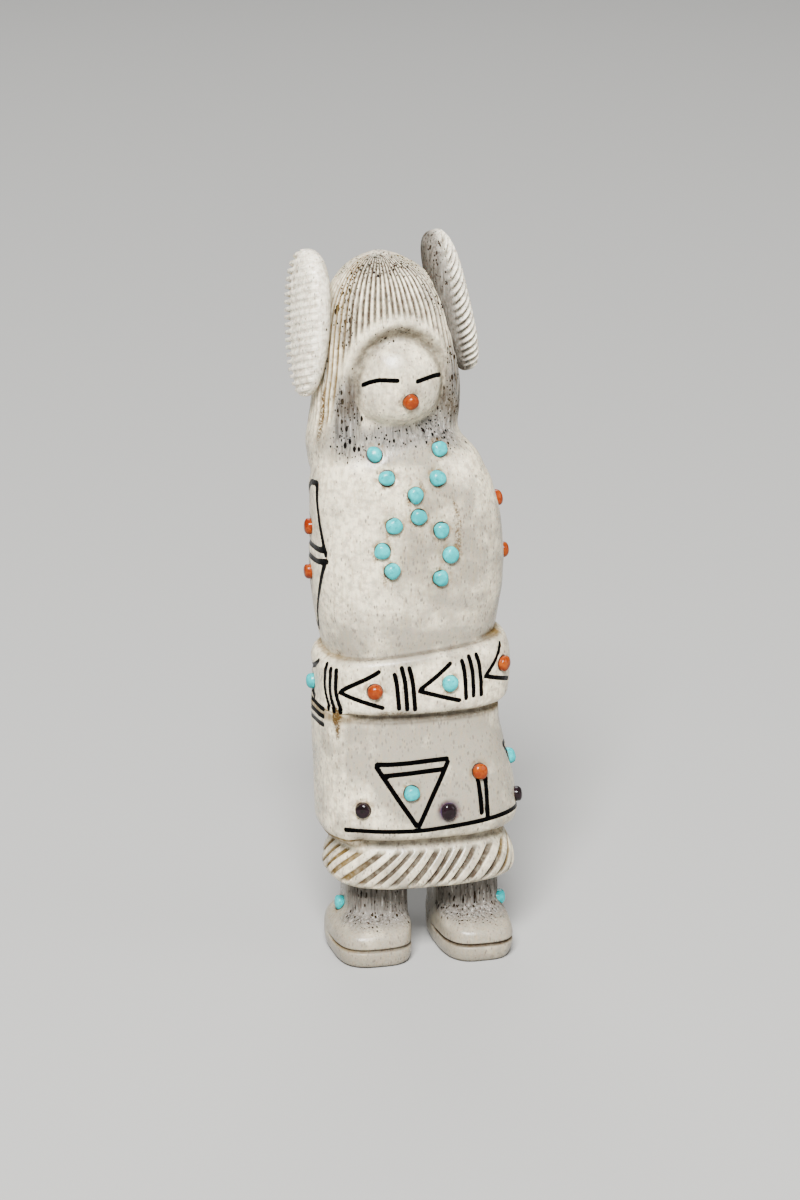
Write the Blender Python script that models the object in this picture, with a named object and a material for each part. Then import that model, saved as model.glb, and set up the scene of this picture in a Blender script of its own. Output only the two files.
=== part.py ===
"""Carved antler maiden, a small standing figure with two glued-on hair whorls and inlaid stones.

The front of the figure faces -Y, its own left is +X, and it stands on the floor at Z = 0.
The body is one carving. The whorls and every stone are pieces of their own, bedded in it.
Lengths are in metres. The free carving is drawn in units, 115 of which make the figure's height.
"""

import math

import bmesh
import bpy
import numpy as np
from mathutils import Matrix, Vector

# Driving sizes, in metres
FIGURE_HEIGHT = 0.115
STONE_DIAMETER = 0.0025
STONE_RISE = 0.0011
STONE_GIRDLE = 0.0002
STONE_SHANK = 0.0012
GLUE_GAP = 0.00025
WHORL_LENGTH = 0.0224
WHORL_DEPTH = 0.0104
RIGHT_WHORL_THICKNESS = 0.0050
LEFT_WHORL_THICKNESS = 0.0056
RIGHT_WHORL_SWAY = 0.0008
LEFT_WHORL_SWAY = 0.0002
WHORL_GROOVE_DEPTH = 0.00105
FLUTE_DEPTH = 0.0007
PETTICOAT_GROOVE_DEPTH = 0.00055
SOLE_THICKNESS = 0.0030
SOLE_GROOVE_DEPTH = 0.0004
SOLE_GROOVE_WIDTH = 0.0006

# Counts
FRONT_FLUTES = 27
FLUTE_PITCH_DEG = 6.0
BACK_COLUMNS = 17
WHORL_GROOVES = 18
PETTICOAT_GROOVES = 34
STONE_SIDES = 8

# One unit of the free carving
UNIT = FIGURE_HEIGHT / 115.0

# Where the leaning axis of the antler stands off the Z axis: height, X
LEAN = (
    (0, 2.7), (20, 2.6), (30, 1.9), (40, 1.2), (47, 1.4), (52, 0.9), (60, 0.7), (70, 0.4),
    (76, -0.7), (80, -1.9), (85, -3.0), (89, -2.6), (94, -2.4), (100, -2.6), (108, -3.0), (115, -4.2),
)

# Skirt, belt and blanket: height, half width, front depth, back depth
TORSO = (
    (18.4, 12.6, 8.8, 8.6),
    (21.0, 13.1, 9.4, 9.2),
    (21.3, 14.5, 10.5, 10.2),
    (22.1, 15.2, 11.2, 10.8),
    (23.6, 15.55, 11.5, 11.1),
    (27.0, 15.45, 11.4, 11.0),
    (35.4, 14.2, 10.4, 10.2),
    (38.2, 13.75, 10.15, 10.05),
    (40.5, 13.65, 10.1, 10.0),
    (40.7, 13.2, 9.75, 9.65),
    (41.6, 13.2, 9.75, 9.65),
    (41.8, 14.3, 10.8, 10.6),
    (42.8, 15.0, 11.3, 11.1),
    (48.5, 15.25, 11.4, 11.2),
    (50.4, 14.8, 11.1, 10.9),
    (51.2, 14.0, 10.5, 10.4),
    (51.5, 13.2, 9.9, 9.7),
    (53.2, 13.6, 10.2, 9.9),
    (60.5, 14.7, 10.8, 10.4),
    (65.0, 14.9, 11.0, 10.4),
    (69.5, 14.75, 11.0, 10.2),
    (73.5, 14.6, 10.6, 9.9),
    (77.5, 14.4, 10.0, 9.0),
    (80.0, 14.1, 9.3, 8.2),
    (82.0, 13.75, 8.6, 7.2),
    (83.5, 13.1, 7.9, 6.2),
    (85.0, 12.0, 7.1, 5.2),
    (86.5, 9.8, 6.2, 4.2),
    (88.5, 6.0, 4.6, 3.0),
)
TORSO_ROWS_BELOW = 74.0
SHOULDER_DROP_AT_BACK = 8.0
SHOULDER_TILT = 1.5
SHOULDER_FROM = 60.0
SHOULDER_FULL = 74.0
BELT_RISE = 0.09
BELT_RISE_FROM = 46.0
BELT_RISE_FULL = 51.0
BELT_RISE_BACK = 54.0
BELT_RISE_GONE = 66.0
TORSO_SQUARENESS = 2.75

# Hanging end of the sash, on the figure's right side: height, half width
SASH = ((18.4, 12.6), (19.7, 13.6), (20.6, 15.3), (22.5, 16.0), (32.0, 15.5), (42.0, 15.1))
SASH_FRONT_DEG = -57.0
SASH_BACK_DEG = -126.0
SASH_EDGE_DEG = 3.0
SASH_DEPTH = 11.5
SASH_TOP = 42.4

# Hair, a bell that hides the head: height, half width, front depth, back depth
HOOD = (
    (74.0, 7.0, 5.0, 6.0),
    (75.5, 10.5, 7.5, 9.0),
    (77.0, 12.2, 9.0, 10.6),
    (79.0, 12.7, 9.8, 11.2),
    (82.0, 12.3, 10.2, 11.3),
    (86.0, 11.4, 10.4, 11.1),
    (90.0, 11.3, 10.4, 10.8),
    (95.0, 10.7, 10.1, 10.3),
    (100.0, 9.9, 9.6, 9.8),
    (104.0, 9.1, 8.8, 8.9),
    (106.8, 8.0, 7.6, 7.7),
    (109.2, 6.2, 5.8, 6.0),
    (110.6, 4.3, 4.1, 4.2),
    (111.4, 2.7, 2.6, 2.6),
    (111.9, 1.1, 1.1, 1.1),
)
HOOD_SQUARENESS = 2.15
HOOD_ROWS = (
    76.0, 77.5, 79.5, 81.5, 83.5, 85.2, 86.8, 88.4, 90.4, 92.8, 95.0, 97.0, 98.8,
    100.2, 101.4, 102.6, 104.6, 106.8, 108.8, 110.2, 111.3,
)
CROWN_HEIGHT = HOOD[-1][0] + 0.1

# Comb lines in the hair
FLUTES_FROM = 84.5
FLUTES_FULL = 87.5
FLUTES_LOW_AT_CROWN = 109.5
FLUTES_END = 112.0
FLUTE_SHARE_OF_RADIUS = 0.07

# Arched opening cut in the front of the hair, and the face in it
ARCH_HALF_DEG = 53.0
ARCH_FLARE_DEG = 22.0
ARCH_FLARE_TO_LEFT_DEG = 14.0
ARCH_SPRING = 92.5
ARCH_FLARE_HEIGHT = 9.0
ARCH_RISE = 10.2
ARCH_COVE = 0.26
ARCH_FLARE_COVE = 0.35
BEND_WIDEST_SHARE = 0.85
BEND_FULL_DEG = 50.0
BEND_GONE_DEG = 90.0
BEND_FROM = 88.0
BEND_FULL = 97.0
BEND_BACK = 104.0
BEND_GONE = 109.5
RECESS_RADIUS = 7.4
RECESS_SIDE_RADIUS = 9.6
RECESS_FRONT_DEG = 35.0
RECESS_SIDE_DEG = 75.0
FACE_CENTRE = (0.3, 3.3, 92.8)
FACE_RADIUS = 7.4
FACE_UP = 7.9
FACE_DOWN = 7.1
FACE_SQUARENESS = 2.4
FACE_CREASE = 0.5
NECK_CREASE = 0.6

# Petticoat below the skirt: height, half width, front depth, back depth
PETTICOAT = (
    (12.9, 13.4, 9.6, 9.2),
    (13.3, 14.5, 10.5, 10.0),
    (14.3, 15.1, 11.0, 10.5),
    (19.4, 13.6, 9.7, 9.5),
    (20.8, 12.4, 8.8, 8.6),
)
PETTICOAT_TWIST_DEG = 26.0

# Each leg with its moccasin: height, X of the centre, Y of the centre, half width, half depth
RIGHT_LEG = (
    (0.0, -5.8, -0.9, 5.3, 7.6),
    (0.5, -5.8, -0.9, 5.9, 8.4),
    (2.4, -5.9, -0.9, 6.2, 8.8),
    (3.6, -5.9, -0.9, 6.2, 8.8),
    (5.0, -5.8, -0.8, 6.0, 8.5),
    (6.0, -5.4, -0.4, 5.6, 7.8),
    (7.2, -4.8, 0.4, 5.1, 6.4),
    (8.6, -4.5, 0.6, 4.95, 5.8),
    (11.0, -4.5, 0.6, 4.9, 5.7),
    (16.0, -4.5, 0.6, 4.9, 5.7),
)
LEFT_LEG = (
    (0.0, 10.5, -1.6, 4.9, 8.6),
    (0.5, 10.5, -1.6, 5.5, 9.3),
    (2.4, 10.6, -1.6, 5.9, 9.8),
    (3.6, 10.6, -1.6, 5.9, 9.8),
    (5.0, 10.5, -1.5, 5.7, 9.5),
    (6.0, 10.4, -0.9, 5.5, 8.6),
    (7.2, 10.2, 0.2, 5.3, 6.6),
    (8.6, 10.1, 0.6, 5.2, 5.8),
    (11.0, 10.1, 0.6, 5.15, 5.7),
    (16.0, 10.1, 0.6, 5.15, 5.7),
)
LEG_COLUMNS = 16
LEG_SQUARENESS = 3.2
SOLE_GROOVE_END = -0.35
SOLE_GROOVE_FULL = 0.15

# Whorls: centre, degrees of lean in the plane of the face, degrees of turn about the vertical
RIGHT_WHORL_PLACE = ((-14.8, -0.8, 101.7), 0.0, 14.0)
LEFT_WHORL_PLACE = ((7.35, -0.8, 104.0), -14.0, -3.0)
# Where the saw cuts begin and are full depth, in degrees round from a whorl's own front
RIGHT_WHORL_CUTS_DEG = (62.0, 100.0)
LEFT_WHORL_CUTS_DEG = (-8.0, 24.0)
WHORL_CUTS_FULL_DEG = 175.0
WHORL_CUTS_END_DEG = 205.0
WHORL_COLUMNS = 10
WHORL_SQUARENESS = 2.6
WHORL_TAPER = 0.12
# How much of its thickness a whorl loses towards its foot
RIGHT_WHORL_FOOT_TAPER = 0.26
LEFT_WHORL_FOOT_TAPER = 0.12
WHORL_GROOVED_SHARE = 0.94
WHORL_GROOVE_SHARE = 0.35
WHORL_CAP_SHARE = 0.988
SEAT_SHARES = (-0.995, -0.85, -0.5, 0.0, 0.5, 0.85, 0.995)

# Stones set in the carving, by the group they belong to: kind, degrees round from the front, height
TURQUOISE = "turquoise"
CORAL = "coral"
JET = "jet"
STONES = {
    "necklace_stone": (
        (TURQUOISE, -26, 82.4), (TURQUOISE, 39, 82.7), (TURQUOISE, -19, 79.0), (TURQUOISE, 25, 78.6),
        (TURQUOISE, 1, 76.3), (TURQUOISE, -1, 73.0), (TURQUOISE, -22, 71.8), (TURQUOISE, 15, 70.8),
        (TURQUOISE, -31, 68.0), (TURQUOISE, 21, 66.8), (TURQUOISE, -25, 64.8), (TURQUOISE, 13, 63.2),
    ),
    "mouth_stone": ((CORAL, 6, 90.8),),
    "blanket_stone": ((CORAL, -98, 69.3), (CORAL, -98, 62.4), (CORAL, 82, 73.0), (CORAL, 82, 64.5)),
    "belt_stone": (
        (TURQUOISE, -100, 44.2), (CORAL, -39, 45.8), (TURQUOISE, 16, 46.5), (CORAL, 57, 47.8),
        (TURQUOISE, 113, 46.8), (CORAL, 162, 46.0), (TURQUOISE, -149, 45.2),
    ),
    "skirt_stone": (
        (JET, -49, 26.5), (TURQUOISE, -17, 29.2), (JET, 11, 25.8), (CORAL, 38, 31.5), (JET, 72, 25.4),
        (TURQUOISE, 80, 31.0), (JET, 124, 25.4), (CORAL, 151, 31.2), (JET, 177, 25.6),
        (TURQUOISE, -154, 29.2),
    ),
}
# Stones on the outer sides of the legs: height, how far behind the middle of the leg
RIGHT_LEG_STONE = (7.4, 1.0)
LEFT_LEG_STONE = (7.5, -3.0)


def ramp(x, start, end):
    """0 before start, 1 past end, and an easy slope between. It also runs downwards."""
    share = np.clip((x - start) / (end - start), 0.0, 1.0)
    return share * share * (3.0 - 2.0 * share)


def soft_max(a, b, reach):
    """The larger of two radii, with the crease between them rounded over this reach."""
    share = np.clip(0.5 + 0.5 * (a - b) / reach, 0.0, 1.0)
    return b + (a - b) * share + reach * share * (1.0 - share)


def profile(knots, column, z):
    """A smooth curve without overshoot through one column of a table of heights."""
    heights = np.array([k[0] for k in knots], float)
    values = np.array([k[column] for k in knots], float)
    step = np.diff(heights)
    slope = np.diff(values) / step
    tangent = np.concatenate([slope[:1], np.zeros(len(slope) - 1), slope[-1:]])
    for i in range(1, len(slope)):
        if slope[i - 1] * slope[i] > 0:
            before, after = 2 * step[i] + step[i - 1], step[i] + 2 * step[i - 1]
            tangent[i] = (before + after) / (before / slope[i - 1] + after / slope[i])
    z = np.clip(z, heights[0], heights[-1])
    i = np.clip(np.searchsorted(heights, z, side="right") - 1, 0, len(step) - 1)
    t = (z - heights[i]) / step[i]
    return (
        (1 + 2 * t) * (1 - t) ** 2 * values[i]
        + t * (1 - t) ** 2 * step[i] * tangent[i]
        + t * t * (3 - 2 * t) * values[i + 1]
        + t * t * (t - 1) * step[i] * tangent[i + 1]
    )


def oval(theta, side, front, back, squareness):
    """Radius of a squarish oval at an angle from the front."""
    across = np.abs(np.sin(theta))
    along = np.cos(theta)
    depth = np.where(along > 0, front, back)
    total = (across / side) ** squareness + (np.abs(along) / depth) ** squareness
    return total ** (-1.0 / squareness)


def table_oval(table, theta, z, squareness):
    return oval(theta, profile(table, 1, z), profile(table, 2, z), profile(table, 3, z), squareness)


def turn_degrees(theta):
    """Degrees round from the front, between -180 and 180."""
    return np.degrees((theta + math.pi) % (2 * math.pi) - math.pi)


def torso_radius(theta, z):
    """Skirt, belt and blanket. The shoulders sit lower at the back and on the right side."""
    drop = SHOULDER_DROP_AT_BACK * (1.0 - np.cos(theta)) / 2.0 - SHOULDER_TILT * np.sin(theta)
    lowered = z + drop * ramp(z, SHOULDER_FROM, SHOULDER_FULL)
    radius = table_oval(TORSO, theta, lowered, TORSO_SQUARENESS)
    radius = np.where(lowered > TORSO[-1][0], 0.0, radius)
    turn = turn_degrees(theta)
    edge = ramp(turn, SASH_FRONT_DEG + SASH_EDGE_DEG, SASH_FRONT_DEG - SASH_EDGE_DEG)
    edge = edge * ramp(turn, SASH_BACK_DEG - SASH_EDGE_DEG, SASH_BACK_DEG + SASH_EDGE_DEG)
    sash = oval(theta, profile(SASH, 1, z), SASH_DEPTH, SASH_DEPTH, TORSO_SQUARENESS)
    hanging = radius + edge * np.maximum(sash - radius, 0.0)
    return np.where(z < SASH_TOP, hanging, radius)


def arch_reach(theta, z):
    """Below 1 inside the arched opening, 1 on its rim. The opening flares towards the shoulders."""
    flare = ARCH_FLARE_DEG + ARCH_FLARE_TO_LEFT_DEG * np.sin(theta)
    half = ARCH_HALF_DEG + flare * ramp(z, ARCH_SPRING, ARCH_SPRING - ARCH_FLARE_HEIGHT)
    above = np.maximum(z - ARCH_SPRING, 0.0) / ARCH_RISE
    return np.hypot(turn_degrees(theta) / half, above)


def hood_radius(theta, z):
    """Hair with its arched opening cut back to the recess."""
    radius = table_oval(HOOD, theta, z, HOOD_SQUARENESS)
    cove = ARCH_COVE + ARCH_FLARE_COVE * ramp(z, ARCH_SPRING, ARCH_SPRING - ARCH_FLARE_HEIGHT)
    inside = ramp(arch_reach(theta, z), 1.0, 1.0 - cove)
    aside = ramp(np.abs(turn_degrees(theta)), RECESS_FRONT_DEG, RECESS_SIDE_DEG)
    recess = RECESS_RADIUS + (RECESS_SIDE_RADIUS - RECESS_RADIUS) * aside
    return radius + inside * np.minimum(recess - radius, 0.0)


def bend_to_arch(theta, z):
    """Lowers the rows of the mesh beside the arch, so that they run along its rim."""
    turn = np.abs(turn_degrees(theta))
    share = np.clip(turn / ARCH_HALF_DEG, 0.0, BEND_WIDEST_SHARE)
    fall = ARCH_RISE * (1.0 - np.sqrt(1.0 - share**2)) * ramp(turn, BEND_GONE_DEG, BEND_FULL_DEG)
    return z - fall * ramp(z, BEND_FROM, BEND_FULL) * ramp(z, BEND_GONE, BEND_BACK)


def face_radius(theta, z):
    """The ball of the face, seen from the leaning axis. 0 where a ray misses it."""
    aside, ahead, height = FACE_CENTRE
    reach = np.where(z > height, FACE_UP, FACE_DOWN)
    share = np.minimum(np.abs(z - height) / reach, 1.0)
    section = FACE_RADIUS**2 * (1.0 - share**FACE_SQUARENESS)
    along = aside * np.sin(theta) + ahead * np.cos(theta)
    inside = section - aside**2 - ahead**2 + along**2
    hit = (inside > 0) & (section > 0) & (np.cos(theta) > 0)
    return np.where(hit, along + np.sqrt(np.maximum(inside, 0.0)), 0.0)


def carving_radius(theta, z):
    """Radius of the whole carving above the legs, without its fine grooves."""
    theta, z = np.broadcast_arrays(np.asarray(theta, float), np.asarray(z, float))
    torso = torso_radius(theta, z)
    head = soft_max(hood_radius(theta, z), face_radius(theta, z), FACE_CREASE)
    return np.where(z > HOOD[0][0], soft_max(torso, head, NECK_CREASE), torso)


def carving_point(theta, z, radius):
    """The point at this angle, height and radius about the leaning axis, in metres. The belt's
    upper edge and the blanket above it climb a little towards the left side."""
    climb = ramp(z, BELT_RISE_FROM, BELT_RISE_FULL) * ramp(z, BELT_RISE_GONE, BELT_RISE_BACK)
    x = profile(LEAN, 1, z) + radius * np.sin(theta)
    y = -radius * np.cos(theta)
    level = z + BELT_RISE * climb * radius * np.sin(theta)
    return UNIT * np.stack(np.broadcast_arrays(x, y, level), axis=-1)


def surface(theta, z):
    return Vector(carving_point(theta, z, carving_radius(theta, z)))


def surface_frame(degrees, z):
    """A point of the carving and the direction that its surface faces."""
    theta = math.radians(degrees)
    ahead = surface(theta + 0.02, z) - surface(theta - 0.02, z)
    up = surface(theta, z + 0.25) - surface(theta, z - 0.25)
    return surface(theta, z), ahead.cross(up).normalized()


def flute_depth(theta, z):
    """Depth of the comb lines of the hair, in units. They run out at the rim, the sides and the crown."""
    turn = np.abs(turn_degrees(theta))
    side = FRONT_FLUTES * FLUTE_PITCH_DEG / 2.0
    fade = ramp(arch_reach(theta, z), 1.0, 1.1) * ramp(turn, side + 2.0, side - 2.0)
    fade = fade * ramp(z, FLUTES_FROM, FLUTES_FULL) * ramp(z, FLUTES_END, FLUTES_LOW_AT_CROWN)
    return fade * np.minimum(FLUTE_DEPTH / UNIT, FLUTE_SHARE_OF_RADIUS * carving_radius(theta, z))


def make_material(name, colour, roughness):
    material = bpy.data.materials.new(name)
    material.use_nodes = True
    shader = material.node_tree.nodes["Principled BSDF"]
    shader.inputs["Base Color"].default_value = (*colour, 1.0)
    shader.inputs["Roughness"].default_value = roughness
    return material


def add_object(name, bm, material):
    bmesh.ops.recalc_face_normals(bm, faces=bm.faces)
    mesh = bpy.data.meshes.new(name)
    bm.to_mesh(mesh)
    bm.free()
    mesh.materials.append(material)
    mesh.shade_smooth()
    mesh.set_sharp_from_angle(angle=math.radians(35))
    obj = bpy.data.objects.new(name, mesh)
    bpy.context.scene.collection.objects.link(obj)
    return obj


def hide_helper(obj):
    obj.hide_render = True
    obj.display_type = "WIRE"


def loft(rings):
    """A closed mesh through rings of points."""
    bm = bmesh.new()
    rows = [[bm.verts.new(p) for p in ring] for ring in rings]
    for low, high in zip(rows, rows[1:]):
        bridge(bm, low, high)
    bm.faces.new(rows[0][::-1])
    bm.faces.new(rows[-1])
    return bm


def head_columns():
    """Angles round the head, two to each flute in front, and whether each is in a groove."""
    front = FRONT_FLUTES * FLUTE_PITCH_DEG / 2.0
    fluted = np.linspace(-front, front, 2 * FRONT_FLUTES + 1)
    back = np.linspace(front, 360.0 - front, BACK_COLUMNS + 1)[1:-1]
    groove = np.concatenate([np.arange(len(fluted)) % 2 == 1, np.zeros(len(back), bool)])
    return np.radians(np.concatenate([fluted, back])), groove


def bridge(bm, low, high):
    """A band of quads between two rings of as many points."""
    for i in range(len(low)):
        j = (i + 1) % len(low)
        bm.faces.new((low[i], low[j], high[j], high[i]))


def make_carving(material):
    """Skirt, belt, blanket, head and hair in one lofted solid, fine-meshed where it is fluted."""
    theta, groove = head_columns()
    bm = bmesh.new()
    rows = []
    for level in [row[0] for row in TORSO if row[0] < TORSO_ROWS_BELOW] + list(HOOD_ROWS):
        around = theta if level > FLUTES_FROM else theta[~groove]
        z = bend_to_arch(around, level)
        cut = np.where(groove, flute_depth(around, z), 0.0) if level > FLUTES_FROM else 0.0
        points = carving_point(around, z, carving_radius(around, z) - cut)
        rows.append([bm.verts.new(p) for p in points])
    for low, high in zip(rows, rows[1:]):
        if len(low) == len(high):
            bridge(bm, low, high)
        else:
            join_coarse_to_fine(bm, low, high, groove)
    bm.faces.new(rows[0][::-1])
    crown = bm.verts.new(carving_point(0.0, CROWN_HEIGHT, 0.0))
    for i in range(len(theta)):
        bm.faces.new((rows[-1][i], rows[-1][(i + 1) % len(theta)], crown))
    return add_object("body", bm, material)


def join_coarse_to_fine(bm, low, high, groove):
    """Closes the step from the plain columns to the fluted ones."""
    place = 0
    for i in range(len(low)):
        j = (i + 1) % len(low)
        after = (place + 1) % len(high)
        if groove[after]:
            last = (after + 1) % len(high)
            bm.faces.new((low[i], low[j], high[after]))
            bm.faces.new((low[i], high[after], high[place]))
            bm.faces.new((low[j], high[last], high[after]))
            place = last
        else:
            bm.faces.new((low[i], low[j], high[after], high[place]))
            place = after


def make_petticoat(material):
    """The flared ring under the skirt, with slanting cuts all round."""
    columns = 2 * PETTICOAT_GROOVES
    turn = np.arange(columns) * 2 * math.pi / columns
    depth = PETTICOAT_GROOVE_DEPTH / UNIT * (np.arange(columns) % 2)
    low, high = PETTICOAT[1][0], PETTICOAT[-2][0]
    rings = []
    for z in [row[0] for row in PETTICOAT]:
        theta = turn + math.radians(PETTICOAT_TWIST_DEG) * (z - low) / (high - low)
        edge = 1.0 if low < z < high else 0.35
        radius = table_oval(PETTICOAT, theta, z, TORSO_SQUARENESS) - depth * edge
        rings.append(carving_point(theta, z, radius))
    return add_object("petticoat_ring", loft(rings), material)


def leg_ring(row, inset):
    """One level of a leg: a squarish oval about its own centre."""
    z, x, y, half_width, half_depth = row
    theta = np.arange(LEG_COLUMNS) * 2 * math.pi / LEG_COLUMNS
    radius = oval(theta, half_width, half_depth, half_depth, LEG_SQUARENESS)
    radius = radius - inset / UNIT * ramp(np.cos(theta), SOLE_GROOVE_END, SOLE_GROOVE_FULL)
    ring = (x + radius * np.sin(theta), y - radius * np.cos(theta), np.full_like(theta, z))
    return UNIT * np.stack(ring, axis=-1)


def make_leg(name, table, material):
    """Leg and moccasin, with the line of the sole cut in its front."""
    sole = SOLE_THICKNESS / UNIT
    half = SOLE_GROOVE_WIDTH / UNIT / 2.0
    levels = [row[0] for row in table if abs(row[0] - sole) > 2 * half]
    levels = sorted([*levels, sole - half, sole, sole + half])
    rings = []
    for z in levels:
        row = (z, *[float(profile(table, column, z)) for column in (1, 2, 3, 4)])
        rings.append(leg_ring(row, SOLE_GROOVE_DEPTH if z == sole else 0.0))
    return add_object(name, loft(rings), material)


def leg_side_frame(table, place, outward):
    """A point on the outer side of a leg and the way it faces."""
    z, behind = place
    x, y, half_width, half_depth = (float(profile(table, column, z)) for column in (1, 2, 3, 4))
    share = abs(behind) / half_depth
    aside = half_width * (1.0 - share**LEG_SQUARENESS) ** (1.0 / LEG_SQUARENESS)
    point = UNIT * Vector((x + outward * aside, y + behind, z))
    power = LEG_SQUARENESS - 1.0
    steep = (aside / half_width) ** power / half_width
    easy = math.copysign(share**power / half_depth, behind)
    return point, Vector((outward * steep, easy, 0.0)).normalized()


def join(target, tool, operation, name):
    modifier = target.modifiers.new(name, "BOOLEAN")
    modifier.operation = operation
    modifier.object = tool
    hide_helper(tool)


def whorl_foot(along):
    """0 at the head of a whorl, 1 at its foot."""
    return (0.5 - along / WHORL_LENGTH) ** 2


def whorl_section(along, theta, thickness, taper, grow):
    """A level of a whorl in its own axes: Z along it, X out from the head, -Y to the front."""
    way = 2.0 * along / WHORL_LENGTH
    plump = (1.0 - abs(way) ** 3.4) ** (1.0 / 3.0) * (1.0 - taper * whorl_foot(along))
    rounded = (1.0 - abs(way) ** 2.4) ** (1.0 / 2.2) * (1.0 + WHORL_TAPER * way)
    half_thickness = thickness / 2.0 * plump + grow
    half_depth = WHORL_DEPTH / 2.0 * rounded + grow
    return oval(theta, half_thickness, half_depth, half_depth, WHORL_SQUARENESS)


def whorl_groove(theta, begins):
    """Share of the saw cuts' depth round a whorl: none on the smooth front and the inner face."""
    turn = turn_degrees(theta)
    wrapped = np.where(turn < -90.0, turn + 360.0, turn)
    return ramp(wrapped, *begins) * ramp(wrapped, WHORL_CUTS_END_DEG, WHORL_CUTS_FULL_DEG)


def make_whorl(name, place, outward, form, begins, material):
    """An oval of antler with saw cuts across its outer face. outward is -1 or 1 along X. form is
    its thickness, the taper of its foot and how far the foot stands out."""
    thickness, taper, sway = form
    pitch = WHORL_GROOVED_SHARE * WHORL_LENGTH / WHORL_GROOVES
    theta = np.arange(WHORL_COLUMNS) * 2 * math.pi / WHORL_COLUMNS
    first = -pitch * (WHORL_GROOVES - 0.5) / 2.0
    cap = WHORL_CAP_SHARE * WHORL_LENGTH / 2.0
    levels = [(first + pitch * i / 2.0, i % 2) for i in range(2 * WHORL_GROOVES)]
    rings = []
    for along, cut in [(-cap, 0), *levels, (cap, 0)]:
        radius = whorl_section(along, theta, thickness, taper, 0.0)
        deepest = np.minimum(WHORL_GROOVE_DEPTH, WHORL_GROOVE_SHARE * radius)
        radius = radius - cut * deepest * whorl_groove(theta, begins)
        rings.append(whorl_points(radius, theta, along, place, outward, sway))
    return add_object(name, loft(rings), material)


def whorl_points(radius, theta, along, place, outward, sway):
    """Points of a whorl moved to its place beside the head."""
    centre, lean, twist = place
    x = outward * (radius * np.sin(theta) + sway * whorl_foot(along))
    y = -radius * np.cos(theta)
    turn = Matrix.Rotation(math.radians(lean), 3, "Y") @ Matrix.Rotation(math.radians(twist), 3, "Z")
    points = np.stack([x, y, np.full_like(x, along)], axis=-1)
    return points @ np.array(turn).T + UNIT * np.array(centre)


def make_whorl_seat(name, place, outward, form, material):
    """The hollow in the hair that a whorl is glued into: its own oval, larger by the glue gap."""
    thickness, taper, sway = form
    theta = np.arange(WHORL_COLUMNS) * 2 * math.pi / WHORL_COLUMNS
    rings = []
    for share in SEAT_SHARES:
        along = share * (WHORL_LENGTH / 2.0 + GLUE_GAP)
        radius = whorl_section(share * WHORL_LENGTH / 2.0, theta, thickness, taper, GLUE_GAP)
        rings.append(whorl_points(radius, theta, along, place, outward, sway))
    return add_object(name, loft(rings), material)


def turned(outline, sides):
    """A closed solid of revolution about Z through an outline of radius and height."""
    bm = bmesh.new()
    rows = []
    for radius, z in outline:
        if radius == 0.0:
            rows.append([bm.verts.new((0.0, 0.0, z))])
            continue
        angles = [2 * math.pi * i / sides for i in range(sides)]
        rows.append([bm.verts.new((radius * math.cos(a), radius * math.sin(a), z)) for a in angles])
    for low, high in zip(rows, rows[1:]):
        if len(high) > 1:
            bridge(bm, low, high)
    for i in range(sides):
        bm.faces.new((rows[-2][i], rows[-2][(i + 1) % sides], rows[-1][0]))
    bm.faces.new(rows[0][::-1])
    return bm


def place_on(obj, point, normal):
    obj.matrix_world = Matrix.Translation(point) @ normal.to_track_quat("Z", "Y").to_matrix().to_4x4()


def make_stone(name, point, normal, material, sockets):
    """A domed stone on a short shank, and the drilled socket that takes it."""
    radius = STONE_DIAMETER / 2.0
    outline = (
        (radius, -STONE_SHANK),
        (radius, STONE_GIRDLE),
        (0.74 * radius, STONE_GIRDLE + 0.66 * (STONE_RISE - STONE_GIRDLE)),
        (0.0, STONE_RISE),
    )
    stone = add_object(name, turned(outline, STONE_SIDES), material)
    place_on(stone, point, normal)
    bore = radius + GLUE_GAP
    drill = ((bore, -STONE_SHANK - GLUE_GAP), (bore, STONE_RISE), (0.0, STONE_RISE + bore))
    socket = add_object(name + "_socket", turned(drill, STONE_SIDES), material)
    place_on(socket, point, normal)
    hide_helper(socket)
    bpy.context.scene.collection.objects.unlink(socket)
    sockets.objects.link(socket)


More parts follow.
